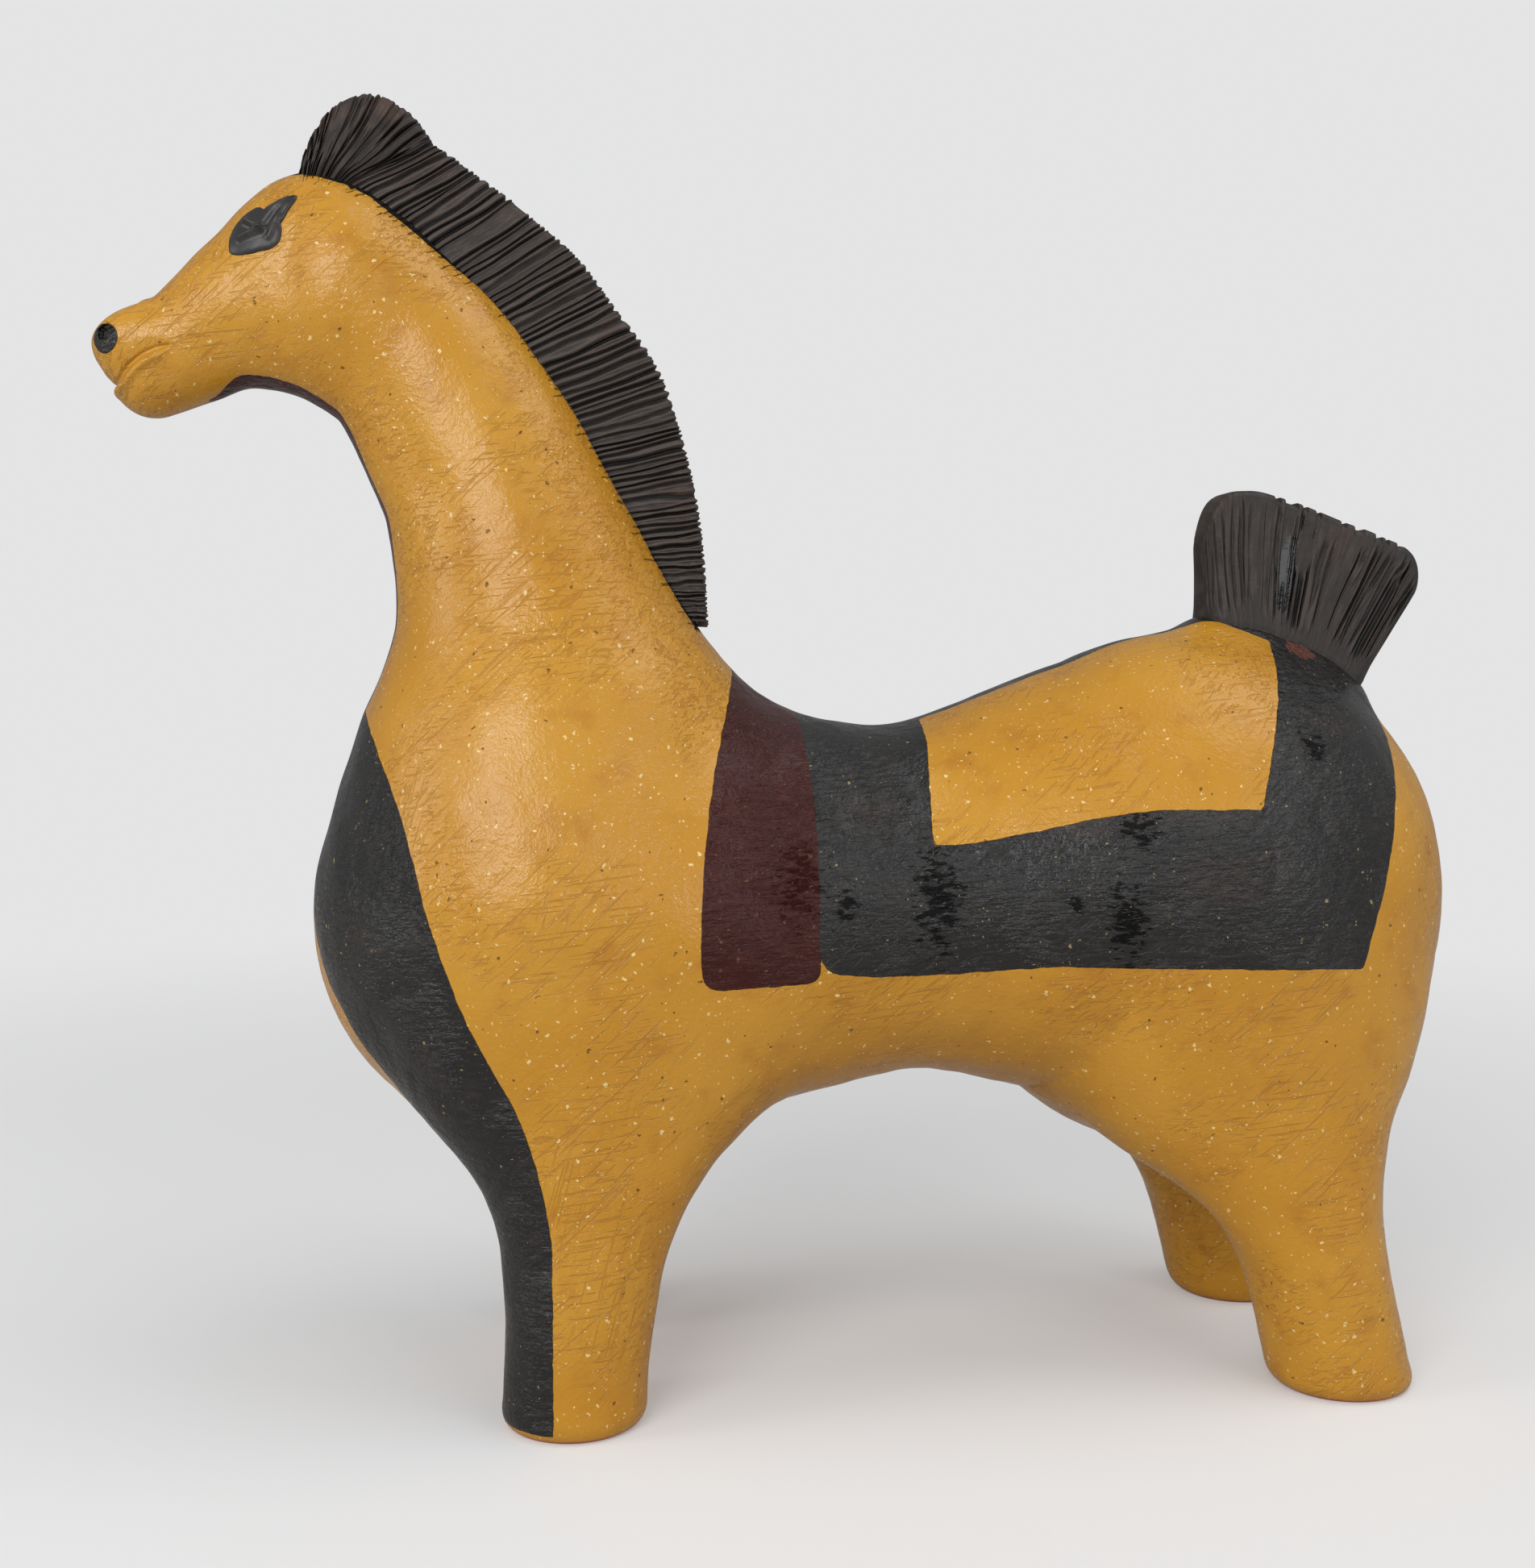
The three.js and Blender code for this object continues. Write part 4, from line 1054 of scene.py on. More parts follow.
class Sheet:
    """A node tree with short calls to add nodes, wire them and do sums."""

    def __init__(self, tree: bpy.types.NodeTree) -> None:
        """Keeps the tree to work on."""
        self.tree = tree

    def feed(self, node: bpy.types.Node, wires: dict[str | int, Value]) -> None:
        """Links sockets to a node's inputs and sets plain values there, by input name or number."""
        for name, value in wires.items():
            if isinstance(value, Socket):
                self.tree.links.new(value, node.inputs[name])
            else:
                node.inputs[name].default_value = value

    def put(self, kind: str, wires: dict[str | int, Value] | None = None,
            **settings: object) -> bpy.types.Node:
        """Adds a node.

        Args:
            kind: The node's type.
            wires: Sockets to link and plain values to set, by input name or number.
            settings: The node's own properties.

        Returns:
            The node.
        """
        node = self.tree.nodes.new(kind)
        for name, value in settings.items():
            setattr(node, name, value)
        self.feed(node, wires or {})
        return node

    def sum(self, operation: str, a: Value, b: Value = 0.0) -> Socket:
        """One Math node's result."""
        return self.put("ShaderNodeMath", {0: a, 1: b}, operation=operation).outputs[0]

    def times(self, a: Value, b: Value) -> Socket:
        """a times b."""
        return self.sum("MULTIPLY", a, b)

    def plus(self, a: Value, b: Value) -> Socket:
        """a plus b."""
        return self.sum("ADD", a, b)

    def minus(self, a: Value, b: Value) -> Socket:
        """a less b."""
        return self.sum("SUBTRACT", a, b)

    def most(self, a: Value, b: Value) -> Socket:
        """The greater of a and b."""
        return self.sum("MAXIMUM", a, b)

    def step(self, value: Value, low: Value, high: Value) -> Socket:
        """A smooth step from 0 at low to 1 at high."""
        wires = {"Value": value, "From Min": low, "From Max": high}
        return self.put("ShaderNodeMapRange", wires, interpolation_type="SMOOTHSTEP").outputs[0]

    def blend(self, share: Value, a: Value, b: Value) -> Socket:
        """A colour between a and b."""
        return self.put("ShaderNodeMix", {0: share, 6: a, 7: b}, data_type="RGBA").outputs[2]

    def layers(self, ground: Value, coats: Sequence[tuple[Socket, float, Value]]) -> Socket:
        """Colours laid over a ground in turn, each by its mask times its strength."""
        for mask, strength, tint in coats:
            ground = self.blend(self.times(mask, strength), ground, tint)
        return ground

    def between(self, share: Value, a: Value, b: Value) -> Socket:
        """A number between a and b."""
        return self.put("ShaderNodeMapRange", {"Value": share, "To Min": a, "To Max": b}).outputs[0]

    def choose(self, number: Value, masks: Sequence[tuple[Socket, Value]]) -> Socket:
        """A number that each mask in turn replaces by its own."""
        for mask, other in masks:
            number = self.between(mask, number, other)
        return number

    def drawn_out(self, vector: Socket, scale: Value) -> Socket:
        """A place scaled along the axes, so that what is drawn there comes out longer or shorter."""
        return self.put("ShaderNodeMapping", {"Vector": vector, "Scale": scale}).outputs[0]

    def noise(self, vector: Socket, scale: Value, detail: float = 2.0, roughness: float = 0.5) -> Socket:
        """Noise from 0 to 1 at a scale per metre."""
        wires = {"Vector": vector, "Scale": scale, "Detail": detail, "Roughness": roughness}
        return self.put("ShaderNodeTexNoise", wires).outputs[0]

    def bump(self, height: Socket, distance: float = MM) -> Socket:
        """The normal of a surface raised by a height."""
        wires = {"Height": height, "Distance": distance, "Strength": 1.0}
        return self.put("ShaderNodeBump", wires).outputs[0]

    def stored(self, name: str) -> Socket:
        """A number stored on the mesh."""
        return self.put("ShaderNodeAttribute", attribute_name=name).outputs["Fac"]


def start_finish(name: str) -> tuple[bpy.types.Material, Sheet, Socket]:
    """Starts a material: the material, a sheet on its nodes and the object's own coordinates."""
    made = bpy.data.materials.new(name)
    made.use_nodes = True
    sheet = Sheet(made.node_tree)
    return made, sheet, sheet.put("ShaderNodeTexCoord").outputs["Object"]


def colour(red: int, green: int, blue: int) -> Quad:
    """An sRGB colour as linear values."""
    part = [(c / 255 / 12.92) if c <= 10 else ((c / 255 + 0.055) / 1.055) ** 2.4 for c in (red, green, blue)]
    return part[0], part[1], part[2], 1.0


class Effects:
    """Node groups that more than one finish uses."""

    def __init__(self) -> None:
        """Builds the groups once."""
        self.grog = self.make_grog()
        self.scrape = self.make_scrape()
        self.edge = self.make_edge()

    @staticmethod
    def start(name: str, takes: Sequence[str],
              gives: Sequence[str]) -> tuple[Sheet, dict[str, Socket], bpy.types.Node]:
        """Starts a group that takes a place and numbers and gives numbers.

        Args:
            name: The group's name.
            takes: Names of the number inputs, besides the place.
            gives: Names of the number outputs.

        Returns:
            A sheet on the group's tree, its inputs by name, and its output node.
        """
        tree = bpy.data.node_groups.new(name, "ShaderNodeTree")
        tree.interface.new_socket("Vector", in_out="INPUT", socket_type="NodeSocketVector")
        for names, way in ((takes, "INPUT"), (gives, "OUTPUT")):
            for socket in names:
                tree.interface.new_socket(socket, in_out=way, socket_type="NodeSocketFloat")
        source = tree.nodes.new("NodeGroupInput")
        given = {socket: source.outputs[socket] for socket in ("Vector", *takes)}
        return Sheet(tree), given, tree.nodes.new("NodeGroupOutput")

    def make_grog(self) -> bpy.types.NodeTree:
        """Grains of fired grog and pits: spheres round scattered points, cut by the surface."""
        sheet, given, out = self.start("grog_grains", ("Plenty",), ("Cream", "Pit", "Chance"))
        bend = sheet.put("ShaderNodeTexNoise", {"Vector": given["Vector"], "Scale": 1100.0, "Detail": 1.0})
        place = bend.outputs["Color"]
        for operation, wires in (("SUBTRACT", {1: (0.5, 0.5, 0.5)}), ("SCALE", {"Scale": 0.0013}),
                                 ("ADD", {1: given["Vector"]})):
            place = sheet.put("ShaderNodeVectorMath", {0: place, **wires}, operation=operation).outputs[0]
        creams = []
        for scale, low, span in ((520.0, 0.03, 0.23), (1000.0, 0.05, 0.22)):
            cells = sheet.put("ShaderNodeTexVoronoi", {"Vector": place, "Scale": scale})
            chance = sheet.put("ShaderNodeSeparateColor", {0: cells.outputs["Color"]})
            big = sheet.plus(sheet.times(sheet.sum("POWER", chance.outputs[0], 2.2), span), low)
            grain = sheet.step(cells.outputs["Distance"], big, sheet.times(big, 0.65))
            lot = sheet.sum("LESS_THAN", chance.outputs[1], given["Plenty"])
            creams.append(sheet.times(grain, lot))
        holes = sheet.put("ShaderNodeTexVoronoi", {"Vector": place, "Scale": 400.0})
        chance = sheet.put("ShaderNodeSeparateColor", {0: holes.outputs["Color"]})
        size = sheet.times(sheet.sum("POWER", chance.outputs[0], 2.0), 0.2)
        pit = sheet.step(holes.outputs["Distance"], size, sheet.times(size, 0.5))
        pit = sheet.times(pit, sheet.sum("LESS_THAN", chance.outputs[1], 0.6))
        sheet.feed(out, {"Cream": sheet.most(*creams), "Pit": pit, "Chance": chance.outputs[2]})
        return sheet.tree

    def make_scrape(self) -> bpy.types.NodeTree:
        """Bundles of fine tool lines: noise drawn out along one way in the side view, in patches."""
        takes = "Angle", "Fine", "Cover", "Drawn"
        sheet, given, out = self.start("scrape_lines", takes, ("Lines", "Waves"))
        turned = sheet.put("ShaderNodeVectorRotate", {"Vector": given["Vector"], "Angle": given["Angle"]},
                           rotation_type="Y_AXIS").outputs[0]
        size = sheet.put("ShaderNodeCombineXYZ", {0: given["Drawn"], 1: 0.3, 2: 1.0}).outputs[0]
        fine = sheet.noise(sheet.drawn_out(turned, size), given["Fine"], 3.0, 0.6)
        patch = sheet.noise(given["Vector"], 34.0)
        start = sheet.minus(1.0, given["Cover"])
        where = sheet.step(patch, sheet.minus(start, 0.08), sheet.plus(start, 0.08))
        sheet.feed(out, {"Lines": sheet.times(sheet.step(fine, 0.57, 0.66), where), "Waves": fine})
        return sheet.tree

    def make_edge(self) -> bpy.types.NodeTree:
        """A brushed edge: the stored distance, shaken by noise, turned into a mask."""
        sheet, given, out = self.start("brushed_edge", ("Inside", "Ragged"), ("Mask",))
        wide = sheet.minus(sheet.noise(given["Vector"], 210.0, 3.0, 0.62), 0.5)
        shake = sheet.times(wide, given["Ragged"])
        sheet.feed(out, {"Mask": sheet.step(sheet.plus(given["Inside"], shake), -0.09, 0.09)})
        return sheet.tree


@dataclass(frozen=True)
class OchreFinish:
    """Satin ochre glaze on grogged clay, with black and maroon slip bands and wiped soles."""

    effects: Effects
    ochre: Quad = colour(188, 131, 27)
    pale: Quad = colour(197, 142, 40)
    deep: Quad = colour(164, 100, 12)
    cream: Quad = colour(236, 208, 142)
    # Painted shade for the pits and the scored lines beside the mane
    recess_shade: Quad = colour(84, 52, 22)
    black: Quad = colour(14, 12, 11)
    scraped: Quad = colour(30, 27, 25)
    worn: Quad = colour(56, 37, 28)
    jet: Quad = colour(7, 6, 6)
    foot: Quad = colour(28, 24, 22)
    maroon: Quad = colour(56, 12, 7)
    rubbed: Quad = colour(70, 29, 22)
    wine: Quad = colour(44, 7, 6)
    stain: Quad = colour(116, 60, 38)
    terracotta: Quad = colour(186, 108, 66)

    def make(self) -> bpy.types.Material:
        """Builds the material from the stored band edges and the shared groups."""
        made, s, at = start_finish("ochre_glaze_with_bands")

        def group(tree: bpy.types.NodeTree, **wires: Value) -> bpy.types.bpy_prop_collection:
            """The outputs of one shared group with its values."""
            return s.put("ShaderNodeGroup", {"Vector": at, **wires}, node_tree=tree).outputs

        # Grains, the bands' edges and the strokes beside the mane
        thick = s.step(s.noise(at, 21.0), 0.25, 0.6)
        grog = group(self.effects.grog, Plenty=s.between(thick, 0.55, 1.0))
        cream, pit = grog["Cream"], grog["Pit"]
        black, maroon, bare, rub = (
            group(self.effects.edge, Inside=s.stored(f"{name}_edge"), Ragged=ragged)["Mask"]
            for name, ragged in (("black", 0.9), ("maroon", 0.9), ("bare", 0.8), ("stain", 6.0)))
        slip = s.most(maroon, black)
        fringe = s.times(s.step(s.stored("stroke_past"), 4.2, 3.2), black)
        strokes = self.strokes(s, fringe)

        # Glossy blots and the lines of the scraper
        dashes = s.noise(s.drawn_out(at, (0.4, 1.0, 1.3)), 800.0, 4.0, 0.68)
        blot = s.plus(s.stored("gloss_edge"), s.times(s.minus(dashes, 0.56), 20.0))
        gloss = s.times(s.step(blot, -0.3, 1.0), 0.9)
        slant, level, flat, upright = (
            group(self.effects.scrape, Angle=angle, Fine=fine, Cover=cover, Drawn=drawn)
            for angle, fine, cover, drawn in ((0.75, 1500.0, 0.52, 0.03), (0.06, 1000.0, 0.62, 0.22),
                                              (0.12, 1700.0, 0.5, 0.04), (1.3, 1700.0, 0.38, 0.025)))
        cuts = s.most(slant["Lines"], s.most(upright["Lines"], flat["Lines"]))
        waves = level["Waves"]
        streak = s.step(waves, 0.42, 0.68)

        # Colours
        cloud = s.step(s.noise(at, 26.0, 3.0), 0.3, 0.7)
        fired = s.step(s.noise(at, 120.0, 3.0), 0.5, 0.8)
        # Painted shade: the pits and the scored lines beside the mane are darkened, as if in shadow
        ochre = s.layers(self.ochre, (
            (cloud, 1.0, self.pale), (fired, 0.45, self.deep), (cuts, 0.4, self.deep),
            (cream, 0.85, self.cream), (pit, 0.75, self.recess_shade), (strokes, 0.85, self.recess_shade)))
        red = s.layers(self.maroon, (
            (streak, 0.6, self.rubbed), (gloss, 1.0, self.wine), (cream, 0.08, self.cream)))
        patch = s.step(s.noise(s.drawn_out(at, (0.45, 1.0, 1.0)), 75.0, 3.0), 0.56, 0.72)
        wear = s.times(patch, s.between(streak, 0.12, 0.5))
        pins = s.times(cream, s.step(grog["Chance"], 0.76, 0.8))
        # In the black, the scored lines are painted jet: painted shade in the grooves
        dark = s.layers(self.black, (
            (streak, 0.65, self.scraped), (wear, 1.0, self.worn), (gloss, 1.0, self.jet),
            (fringe, 1.0, self.foot), (strokes, 0.9, self.jet), (rub, 0.55, self.stain),
            (pins, 0.35, self.cream)))
        skin = s.layers(ochre, ((maroon, 1.0, red), (black, 1.0, dark), (bare, 1.0, self.terracotta)))

        # Gloss
        shine = s.between(s.noise(at, 140.0), 0.15, 0.28)
        dull = s.between(streak, 0.2, 0.34)
        rough = s.choose(shine, (
            (maroon, s.minus(dull, 0.06)), (black, dull), (s.times(gloss, slip), 0.25),
            (s.most(bare, fringe), 0.75), (s.times(cream, 0.5), 0.5)))
        mirror = s.choose(0.5, ((maroon, 0.28), (black, 0.52), (s.times(s.most(gloss, fringe), slip), 0.08)))

        # Relief
        worked = s.between(s.step(s.noise(at, 48.0), 0.42, 0.62), 0.4, 1.15)
        leather = s.times(s.times(slip, worked), s.plus(waves, s.noise(at, 480.0, 4.0, 0.62)))
        height = s.times(s.noise(at, 130.0, 4.0, 0.6), 0.2)
        for mark, depth in ((s.noise(at, 850.0, 3.0, 0.65), 0.22), (cuts, -0.1), (leather, 0.8), (pit, -0.3),
                            (cream, 0.05), (slip, 0.09), (strokes, -0.5)):
            height = s.plus(height, s.times(mark, depth))
        s.feed(made.node_tree.nodes["Principled BSDF"], {
            "Base Color": skin, "Roughness": rough, "Normal": s.bump(height), "Specular IOR Level": mirror})
        return made

    @staticmethod
    def strokes(s: Sheet, fringe: Socket) -> Socket:
        """Scored lines that run on over the mane's black fringe into the ochre, each to its own length.

        Args:
            s: The sheet of the material.
            fringe: The mask of the black fringe, where every line shows.

        Returns:
            The lines' mask.
        """
        phase = s.stored("stroke_phase")
        past = s.stored("stroke_past")
        whole = s.sum("ROUND", phase)
        chance = s.put("ShaderNodeTexWhiteNoise", {"W": whole}, noise_dimensions="1D").outputs["Value"]
        off = s.sum("ABSOLUTE", s.minus(phase, whole))
        line = s.step(off, 0.14, 0.07)
        reach = s.most(s.between(s.sum("POWER", chance, 2.0), 0.2, 3.4), s.times(fringe, 7.0))
        return s.times(line, s.step(past, reach, s.times(reach, 0.6)))


@dataclass(frozen=True)
class SlipFinish:
    """Black slip on combed clay: painted shade darkens the scored lines, a painted highlight lightens their
    burrs, and it is worn to brown in smears.
    """

    name: str
    black: Quad = colour(38, 33, 31)
    scraped: Quad = colour(60, 52, 48)
    groove: Quad = colour(9, 8, 8)
    worn: Quad = colour(88, 60, 46)
    clay: Quad = colour(160, 92, 60)
    jet: Quad = colour(8, 8, 8)
    rough: Pair = (0.42, 0.6)
    specular: float = 0.36
    pebbles: float = 0.1
    wear: float = 0.5

    def make(self) -> bpy.types.Material:
        """Builds the material from the strokes stored on the crest."""
        made, s, at = start_finish(self.name)
        deep = s.stored("comb_depth")
        rise = s.stored("comb_rise")
        lay = s.put("ShaderNodeCombineXYZ", {0: s.stored("comb_phase"), 1: s.times(rise, 0.9)}).outputs[0]
        streak = s.noise(lay, 5.0, 3.0)
        cloud = s.noise(at, 75.0, 3.0)
        high = s.step(s.plus(rise, s.times(streak, 0.5)), 0.7, 1.2)
        smear = s.times(s.step(cloud, 0.5, 0.7), high)
        chips = s.times(s.step(s.noise(at, 330.0), 0.7, 0.74), s.step(cloud, 0.55, 0.65))
        ragged = s.times(s.minus(s.noise(at, 260.0, 3.0), 0.5), 1.6)
        wet = s.step(s.plus(s.stored("comb_wet"), ragged), 0.1, 0.3)
        # Painted shade darkens the grooves to the groove colour, and a painted highlight lightens the burrs
        # beside them to the scraped colour
        dark = s.layers(self.black, (
            (s.step(streak, 0.4, 0.75), 1.0, self.scraped), (smear, self.wear, self.worn),
            (chips, self.wear, self.clay), (s.step(deep, -0.05, -0.3), 1.0, self.scraped),
            (s.step(deep, 0.15, 0.6), 1.0, self.groove), (wet, 1.0, self.jet)))
        rough = s.between(wet, s.between(s.noise(at, 60.0), *self.rough), 0.12)
        height = s.times(streak, 0.1)
        for grain, depth in ((420.0, self.pebbles), (1500.0, 0.06)):
            height = s.plus(height, s.times(s.noise(at, grain), depth))
        s.feed(made.node_tree.nodes["Principled BSDF"], {
            "Base Color": dark, "Roughness": rough, "Normal": s.bump(height),
            "Specular IOR Level": self.specular})
        return made


@dataclass(frozen=True)
class EyeFinish:
    """Semi-gloss black clay, pressed and wiped."""

    black: Quad = colour(36, 34, 34)
    wiped: Quad = colour(58, 55, 53)

    def make(self) -> bpy.types.Material:
        """Builds the material from two scales of noise."""
        made, s, at = start_finish("eye_black_slip")
        dark = s.blend(s.step(s.noise(at, 300.0, 3.0), 0.4, 0.75), self.black, self.wiped)
        rough = s.between(s.noise(at, 220.0), 0.28, 0.46)
        s.feed(made.node_tree.nodes["Principled BSDF"], {
            "Base Color": dark, "Roughness": rough, "Normal": s.bump(s.noise(at, 700.0), 0.06 * MM)})
        return made


@dataclass
class Figure:
    """The whole horse: clay pieces, crests and eyes."""

    body: ClayBody = field(default_factory=ClayBody)
    mane: Crest = Crest(
        name="combed_mane", node="mane", front=-42.7, back=29.0, above=150.0, rise=19.8,
        shares=(0.865, 0.83, 0.905, 0.965, 0.99, 1.02, 0.84, 0.53, 0.12),
        angles=(30.5, 35.0, 37.0, 34.0, 29.0, 22.0, 14.0, 6.0, -2.0),
        base=13.8, rim=8.0, strokes=72, score_half=0.18, score_depth=0.85, notch=0.75, flare=0.5, seed=3,
        round_back=3.0, wander=0.22, wobble=0.07, skip=0.02, columns=15)
    forelock: Crest = Crest(
        name="combed_forelock", node="forelock", front=-56.5, back=-42.7, above=150.0, rise=19.4,
        shares=(0.19, 0.46, 0.78, 0.955, 1.0, 0.965, 0.883),
        angles=(80.0, 82.0, 74.0, 66.0, 56.0, 43.5, 30.5),
        base=14.4, rim=8.0, strokes=14, score_half=0.2, score_depth=1.1, notch=0.8, flare=0.5, seed=8,
        round_front=4.0, wander=0.3, wobble=0.22, columns=30)
    tail: Crest = Crest(
        name="combed_tail", node="tail", front=146.0, back=184.8, above=106.0, rise=29.9,
        shares=(0.56, 0.91, 1.0, 1.0, 0.99, 0.99, 1.02, 1.05, 0.88),
        angles=(93.0, 93.0, 88.0, 83.0, 77.0, 70.0, 63.5, 58.0, 57.0),
        base=15.0, rim=10.0, strokes=25, score_half=0.17, score_depth=1.0, notch=0.45, flare=1.0, seed=5,
        round_front=4.5, round_back=4.5, wander=0.45, wobble=0.12, skip=0.12, ends=(0.06, 0.9, 0.08),
        force=(0.35, 0.4, 0.45, 0.5, 0.9, 1.0, 1.0, 1.0, 0.9), burr=0.5, teeth=0.8, teeth_span=(0.3, 0.82),
        wet=(0.4, 0.42, 0.05, 0.36), calm=(0.46, 0.66, 0.045, 0.24), columns=32)
    slip_margin: float = 1.3
    slip_margin_poll: float = 2.2
    lap_reach: float = 20.0

    def clay_pieces(self) -> tuple[ClayPiece, ...]:
        """The luted pieces of the clay with their boxes and seams."""
        withers = ((0.0, 0.0, 156.0), (-0.12, 0.0, 1.0))
        withers_down = (withers[0], (0.12, 0.0, -1.0))
        poll = ((-53.0, 0.0, 0.0), (-1.0, 0.0, 0.0))
        poll_ahead = (poll[0], (1.0, 0.0, 0.0))
        stance = self.body.stance
        leg_top = ((0.0, 0.0, stance.leg_seam), (0.0, 0.0, 1.0))
        leg_under = (leg_top[0], (0.0, 0.0, -1.0))
        ground = ((0.0, 0.0, 0.0), (0.0, 0.0, -1.0))
        pieces = [
            ClayPiece("clay_trunk", "trunk", (-62.0, -56.0, 40.0), (206.0, 56.0, 174.0), 1.12,
                      (leg_under, withers)),
            ClayPiece("clay_neck", "neck", (-58.0, -46.0, 144.0), (72.0, 46.0, 264.0), 0.8,
                      (withers_down, poll)),
            ClayPiece("clay_head", "head", (-104.5, -20.0, 203.0), (-51.0, 20.0, 268.0), 0.42, (poll_ahead,)),
        ]
        for name, x in (("foreleg", 0.0), ("hindleg", stance.leg_spacing)):
            for side in Side:
                low, high = sorted((2.0 * side.value, 56.0 * side.value))
                node = f"{name}_{side.name.lower()}"
                pieces.append(ClayPiece(f"clay_{node}", node, (x - 44.0, low, -1.2), (x + 28.0, high, 45.0),
                                        0.62, (leg_top, ground)))
        return tuple(pieces)

    def build(self) -> None:
        """Builds and dresses every piece."""
        ochre = OchreFinish(Effects()).make()
        face = FaceMarks(self.body)
        crests = tuple((crest, crest.rulings(self.body)) for crest in (self.mane, self.forelock))
        for piece in self.clay_pieces():
            f = face.distance if piece.node == "head" else self.body.distance
            mesh = piece.build(f)
            self.paint(mesh, crests if piece.node in ("neck", "head", "trunk") else ())
            put_piece(mesh, ochre, piece.node)
        mane_slip = SlipFinish("mane_black_slip", black=colour(46, 40, 37), scraped=colour(74, 65, 60))
        for crest, finish in (
                (self.mane, mane_slip),
                (self.forelock, SlipFinish("forelock_black_slip", wear=0.6)),
                (self.tail, SlipFinish("tail_black_slip", pebbles=0.22, wear=0.2))):
            put_piece(crest.build(self.body), finish.make(), crest.node)
        black = EyeFinish().make()
        for side in Side:
            mesh = EyePellet(side).build(face.distance)
            put_piece(mesh, black, f"eye_{side.name.lower()}")

    def paint(self, mesh: bpy.types.Mesh, crests: Sequence[tuple[Crest, Rulings]]) -> None:
        """Stores the bands' edges and the strokes beside the crests on a clay mesh.

        The slip of a crest laps on to the clay by a margin, which is wider near the poll.

        Args:
            mesh: The clay mesh.
            crests: The crests that stand on this piece, with their rulings.
        """
        livery = Livery()
        p = points_of(mesh)
        black = livery.black(p)
        phase, past = np.zeros(len(p)), np.full(len(p), FAR)
        near = (p[:, 2] > 160.0) & (np.abs(p[:, 1]) < 18.0) & (p[:, 0] < 40.0)
        poll = ease((p[near, 2] - 235.0) / 20.0) * ease((p[near, 0] + 57.0) / 9.0)
        for crest, lines in crests:
            number, along = crest.over_clay(lines, p[near])
            margin = along + self.slip_margin + self.slip_margin_poll * poll
            found = along > -self.lap_reach
            black[near] = np.where(found, np.maximum(black[near], margin), black[near])
            phase[near] = np.where(found, number, phase[near])
            past[near] = np.where(found, np.minimum(past[near], -margin), past[near])
        for name, values in (("black_edge", black), ("maroon_edge", livery.maroon(p)),
                             ("bare_edge", livery.bare(p)), ("gloss_edge", livery.gloss(p)),
                             ("stain_edge", livery.stain(p)), ("stroke_phase", phase), ("stroke_past", past)):
            write_attribute(mesh, name, values)


@dataclass(frozen=True)
class Lamp:
    """A soft area lamp: where it stands, what it looks at, its size and power."""

    name: str
    place: Triple
    target: Triple
    size: Pair
    watts: float

    def put(self) -> None:
        """Adds the lamp to the scene."""
        data = bpy.data.lights.new(self.name, "AREA")
        data.shape = "RECTANGLE"
        data.size, data.size_y = self.size
        data.energy = self.watts
        lamp = bpy.data.objects.new(self.name, data)
        lamp.location = self.place
        lamp.rotation_euler = (Vector(self.target) - Vector(self.place)).to_track_quat("-Z", "Y").to_euler()
        bpy.context.scene.collection.objects.link(lamp)


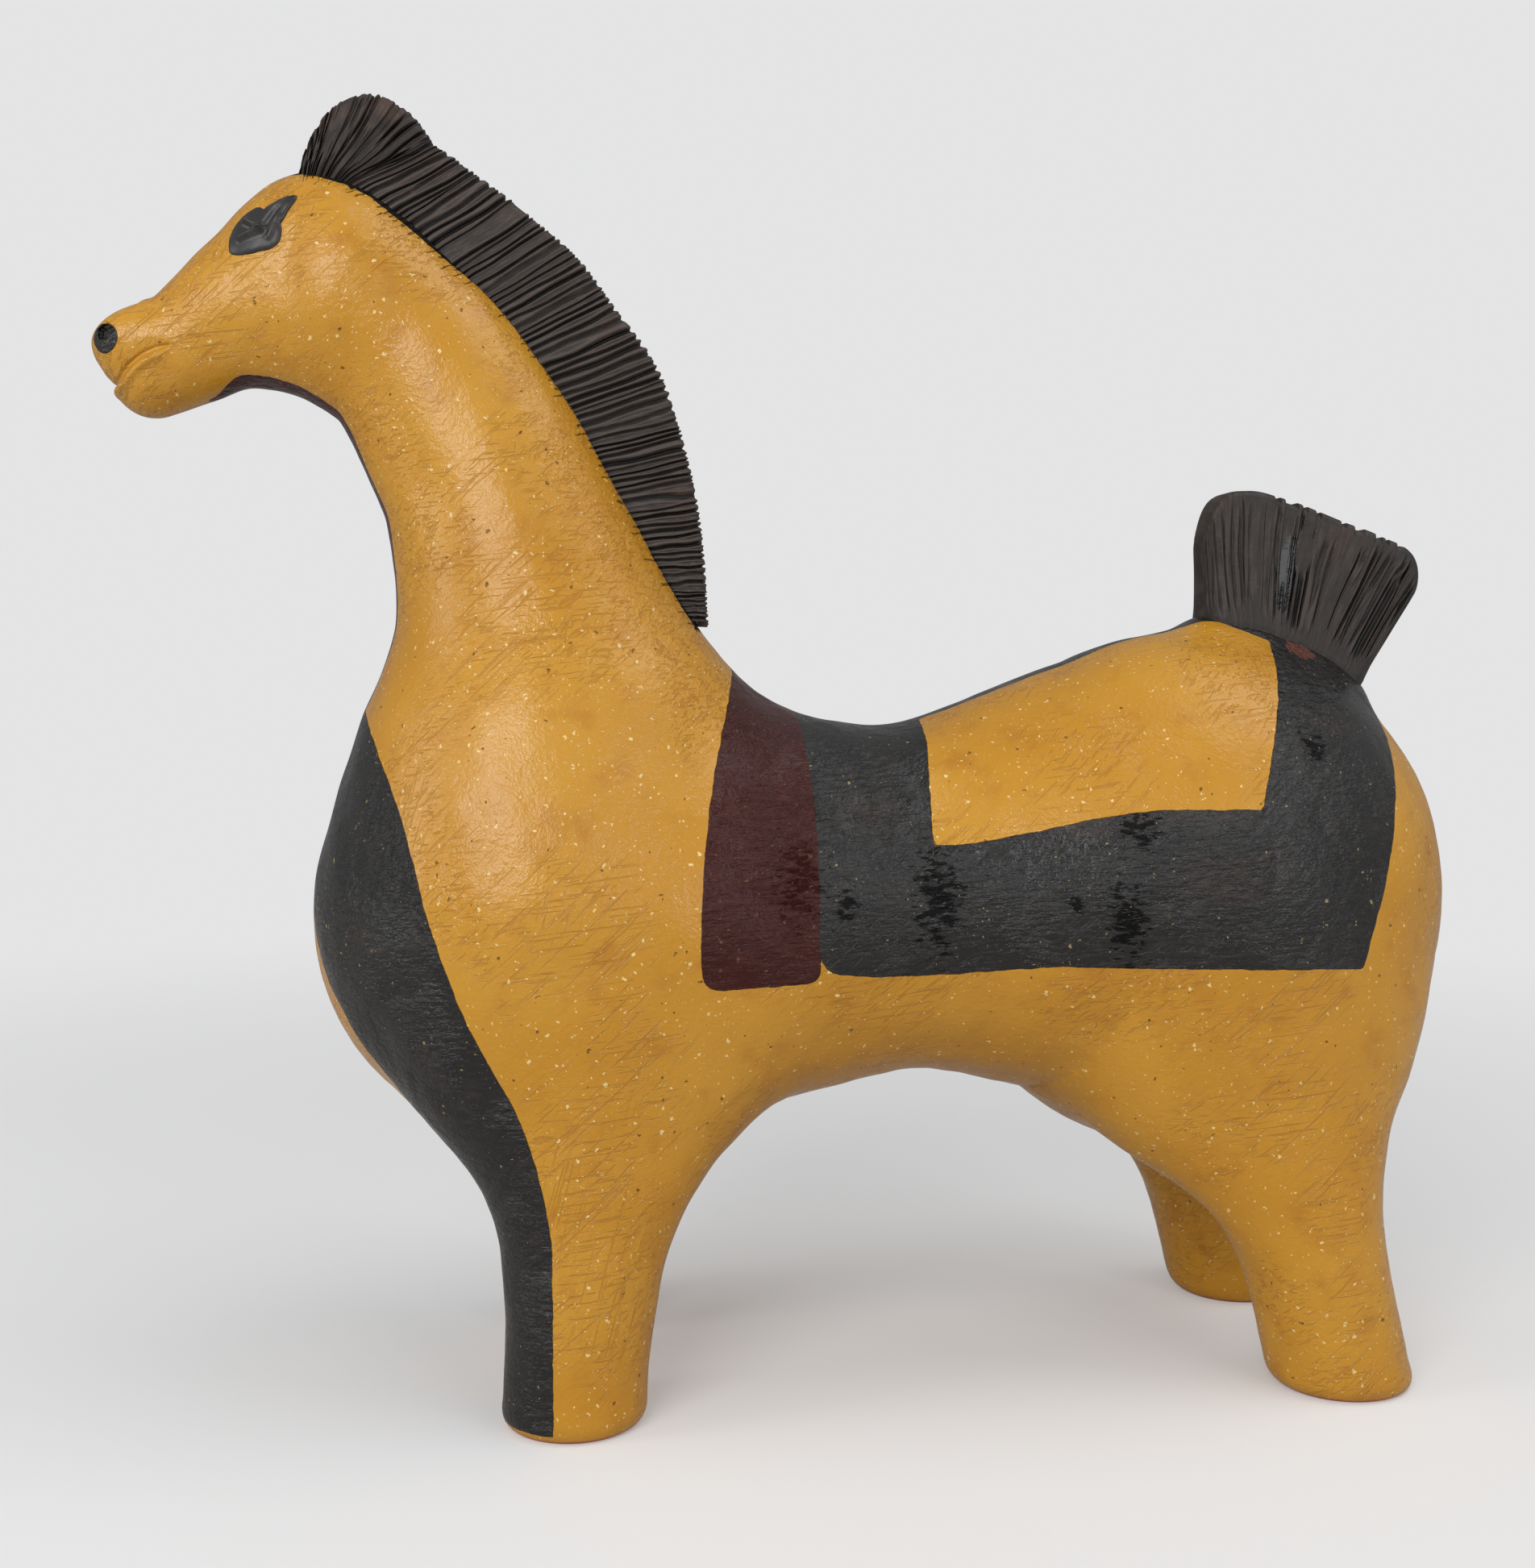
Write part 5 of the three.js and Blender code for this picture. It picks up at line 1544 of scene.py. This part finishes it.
@dataclass(frozen=True)
class Studio:
    """Pale floor, soft lamps, plain background and the camera at the photograph's angle."""

    eye: Triple = (-6.38, -407.9, 156.63)
    heading: float = 7.2
    focal_pixels: float = 2250.0
    image: tuple[int, int] = (1904, 1945)
    dip_pixels: float = 134.5
    sensor: float = 36.0
    background: Quad = colour(228, 228, 229)
    floor: Quad = (0.93, 0.935, 0.94, 1.0)
    floor_bounce: Quad = (0.58, 0.57, 0.56, 1.0)
    lamps: tuple[Lamp, ...] = (
        Lamp("overhead_soft", (0.5, -0.2, 1.1), (0.0, 0.0, 0.12), (0.7, 0.65), 2.9),
        Lamp("window_left", (-1.2, -0.28, 0.45), (-0.02, 0.0, 0.18), (0.36, 0.7), 2.8),
        Lamp("front_left", (-0.58, -1.05, 0.7), (0.0, 0.0, 0.15), (0.7, 0.65), 7.4),
        Lamp("front_right", (0.65, -1.1, 0.45), (0.03, 0.0, 0.13), (0.6, 0.5), 2.9),
    )
    world: float = 0.46
    floor_plain: float = 0.22
    far_dark: float = 0.6

    def camera(self) -> None:
        """Sets the camera: its lens from the focal length in pixels of the long side."""
        data = bpy.data.cameras.new("camera")
        data.sensor_width = self.sensor
        data.lens = self.sensor * self.focal_pixels / max(self.image)
        data.dof.use_dof = False
        data.clip_start = 0.01
        camera = bpy.data.objects.new("camera", data)
        dip = math.atan(self.dip_pixels / self.focal_pixels)
        turn = math.radians(self.heading)
        look = Vector((math.sin(turn) * math.cos(dip), math.cos(turn) * math.cos(dip), -math.sin(dip)))
        camera.location = to_row(np.array(self.eye)).tolist()
        camera.rotation_euler = look.to_track_quat("-Z", "Y").to_euler()
        bpy.context.scene.collection.objects.link(camera)
        bpy.context.scene.camera = camera

    def ground(self) -> None:
        """Lays the floor: a disc whose far part fades into the plain background for camera rays."""
        turn = np.linspace(0.0, 2 * math.pi, 64, endpoint=False)
        reach = np.array([0.5, 1.5, 4.0, 12.0])[:, None]
        rings = np.stack([reach * np.cos(turn), reach * np.sin(turn), 0.0 * reach * turn], axis=-1)
        points = np.concatenate([np.zeros((1, 3)), rings.reshape(-1, 3)])
        number = 1 + np.arange(len(reach) * len(turn)).reshape(len(reach), -1)
        mesh = bpy.data.meshes.new("floor")
        mesh.from_pydata(points.tolist(), [], grid_quads(number) + fan(0, number[0]))
        floor = bpy.data.objects.new("floor", mesh)
        bpy.context.scene.collection.objects.link(floor)
        made, s, at = start_finish("pale_floor")
        made.node_tree.nodes.remove(made.node_tree.nodes["Principled BSDF"])
        off = s.put("ShaderNodeVectorMath", {0: at}, operation="LENGTH").outputs["Value"]
        seen = s.put("ShaderNodeLightPath").outputs["Is Camera Ray"]
        fade = s.times(seen, s.between(s.step(off, 0.2, 0.75), self.floor_plain, 1.0))
        tint = s.blend(seen, self.floor_bounce, self.floor)
        cloth = s.put("ShaderNodeBsdfDiffuse", {"Color": tint}).outputs[0]
        plain = s.put("ShaderNodeEmission", {"Color": self.background}).outputs[0]
        mixed = s.put("ShaderNodeMixShader", {0: fade, 1: cloth, 2: plain}).outputs[0]
        s.feed(made.node_tree.nodes["Material Output"], {"Surface": mixed})
        mesh.materials.append(made)

    def surround(self) -> None:
        """Sets the world: even light, weaker from behind, and the plain background for camera rays."""
        world = bpy.data.worlds.new("plain_surround")
        bpy.context.scene.world = world
        world.use_nodes = True
        s = Sheet(world.node_tree)
        seen = s.put("ShaderNodeLightPath").outputs["Is Camera Ray"]
        way = s.put("ShaderNodeSeparateXYZ", {0: s.put("ShaderNodeTexCoord").outputs["Generated"]}).outputs[1]
        strength = s.between(s.step(way, -0.2, 0.7), self.world, self.far_dark * self.world)
        even = s.put("ShaderNodeBackground", {"Color": (1.0, 1.0, 1.0, 1.0), "Strength": strength}).outputs[0]
        plain = s.put("ShaderNodeBackground", {"Color": self.background, "Strength": 1.0}).outputs[0]
        mixed = s.put("ShaderNodeMixShader", {0: seen, 1: even, 2: plain}).outputs[0]
        s.feed(world.node_tree.nodes["World Output"], {"Surface": mixed})

    def build(self) -> None:
        """Sets up camera, floor, lamps and world."""
        self.camera()
        self.ground()
        self.surround()
        for lamp in self.lamps:
            lamp.put()
        bpy.context.scene.view_settings.view_transform = "Standard"


def main() -> None:
    """Builds the studio and the figure."""
    logging.basicConfig(level=logging.INFO, format="%(name)s: %(message)s")
    Studio().build()
    Figure().build()


if __name__ == "__main__":
    main()
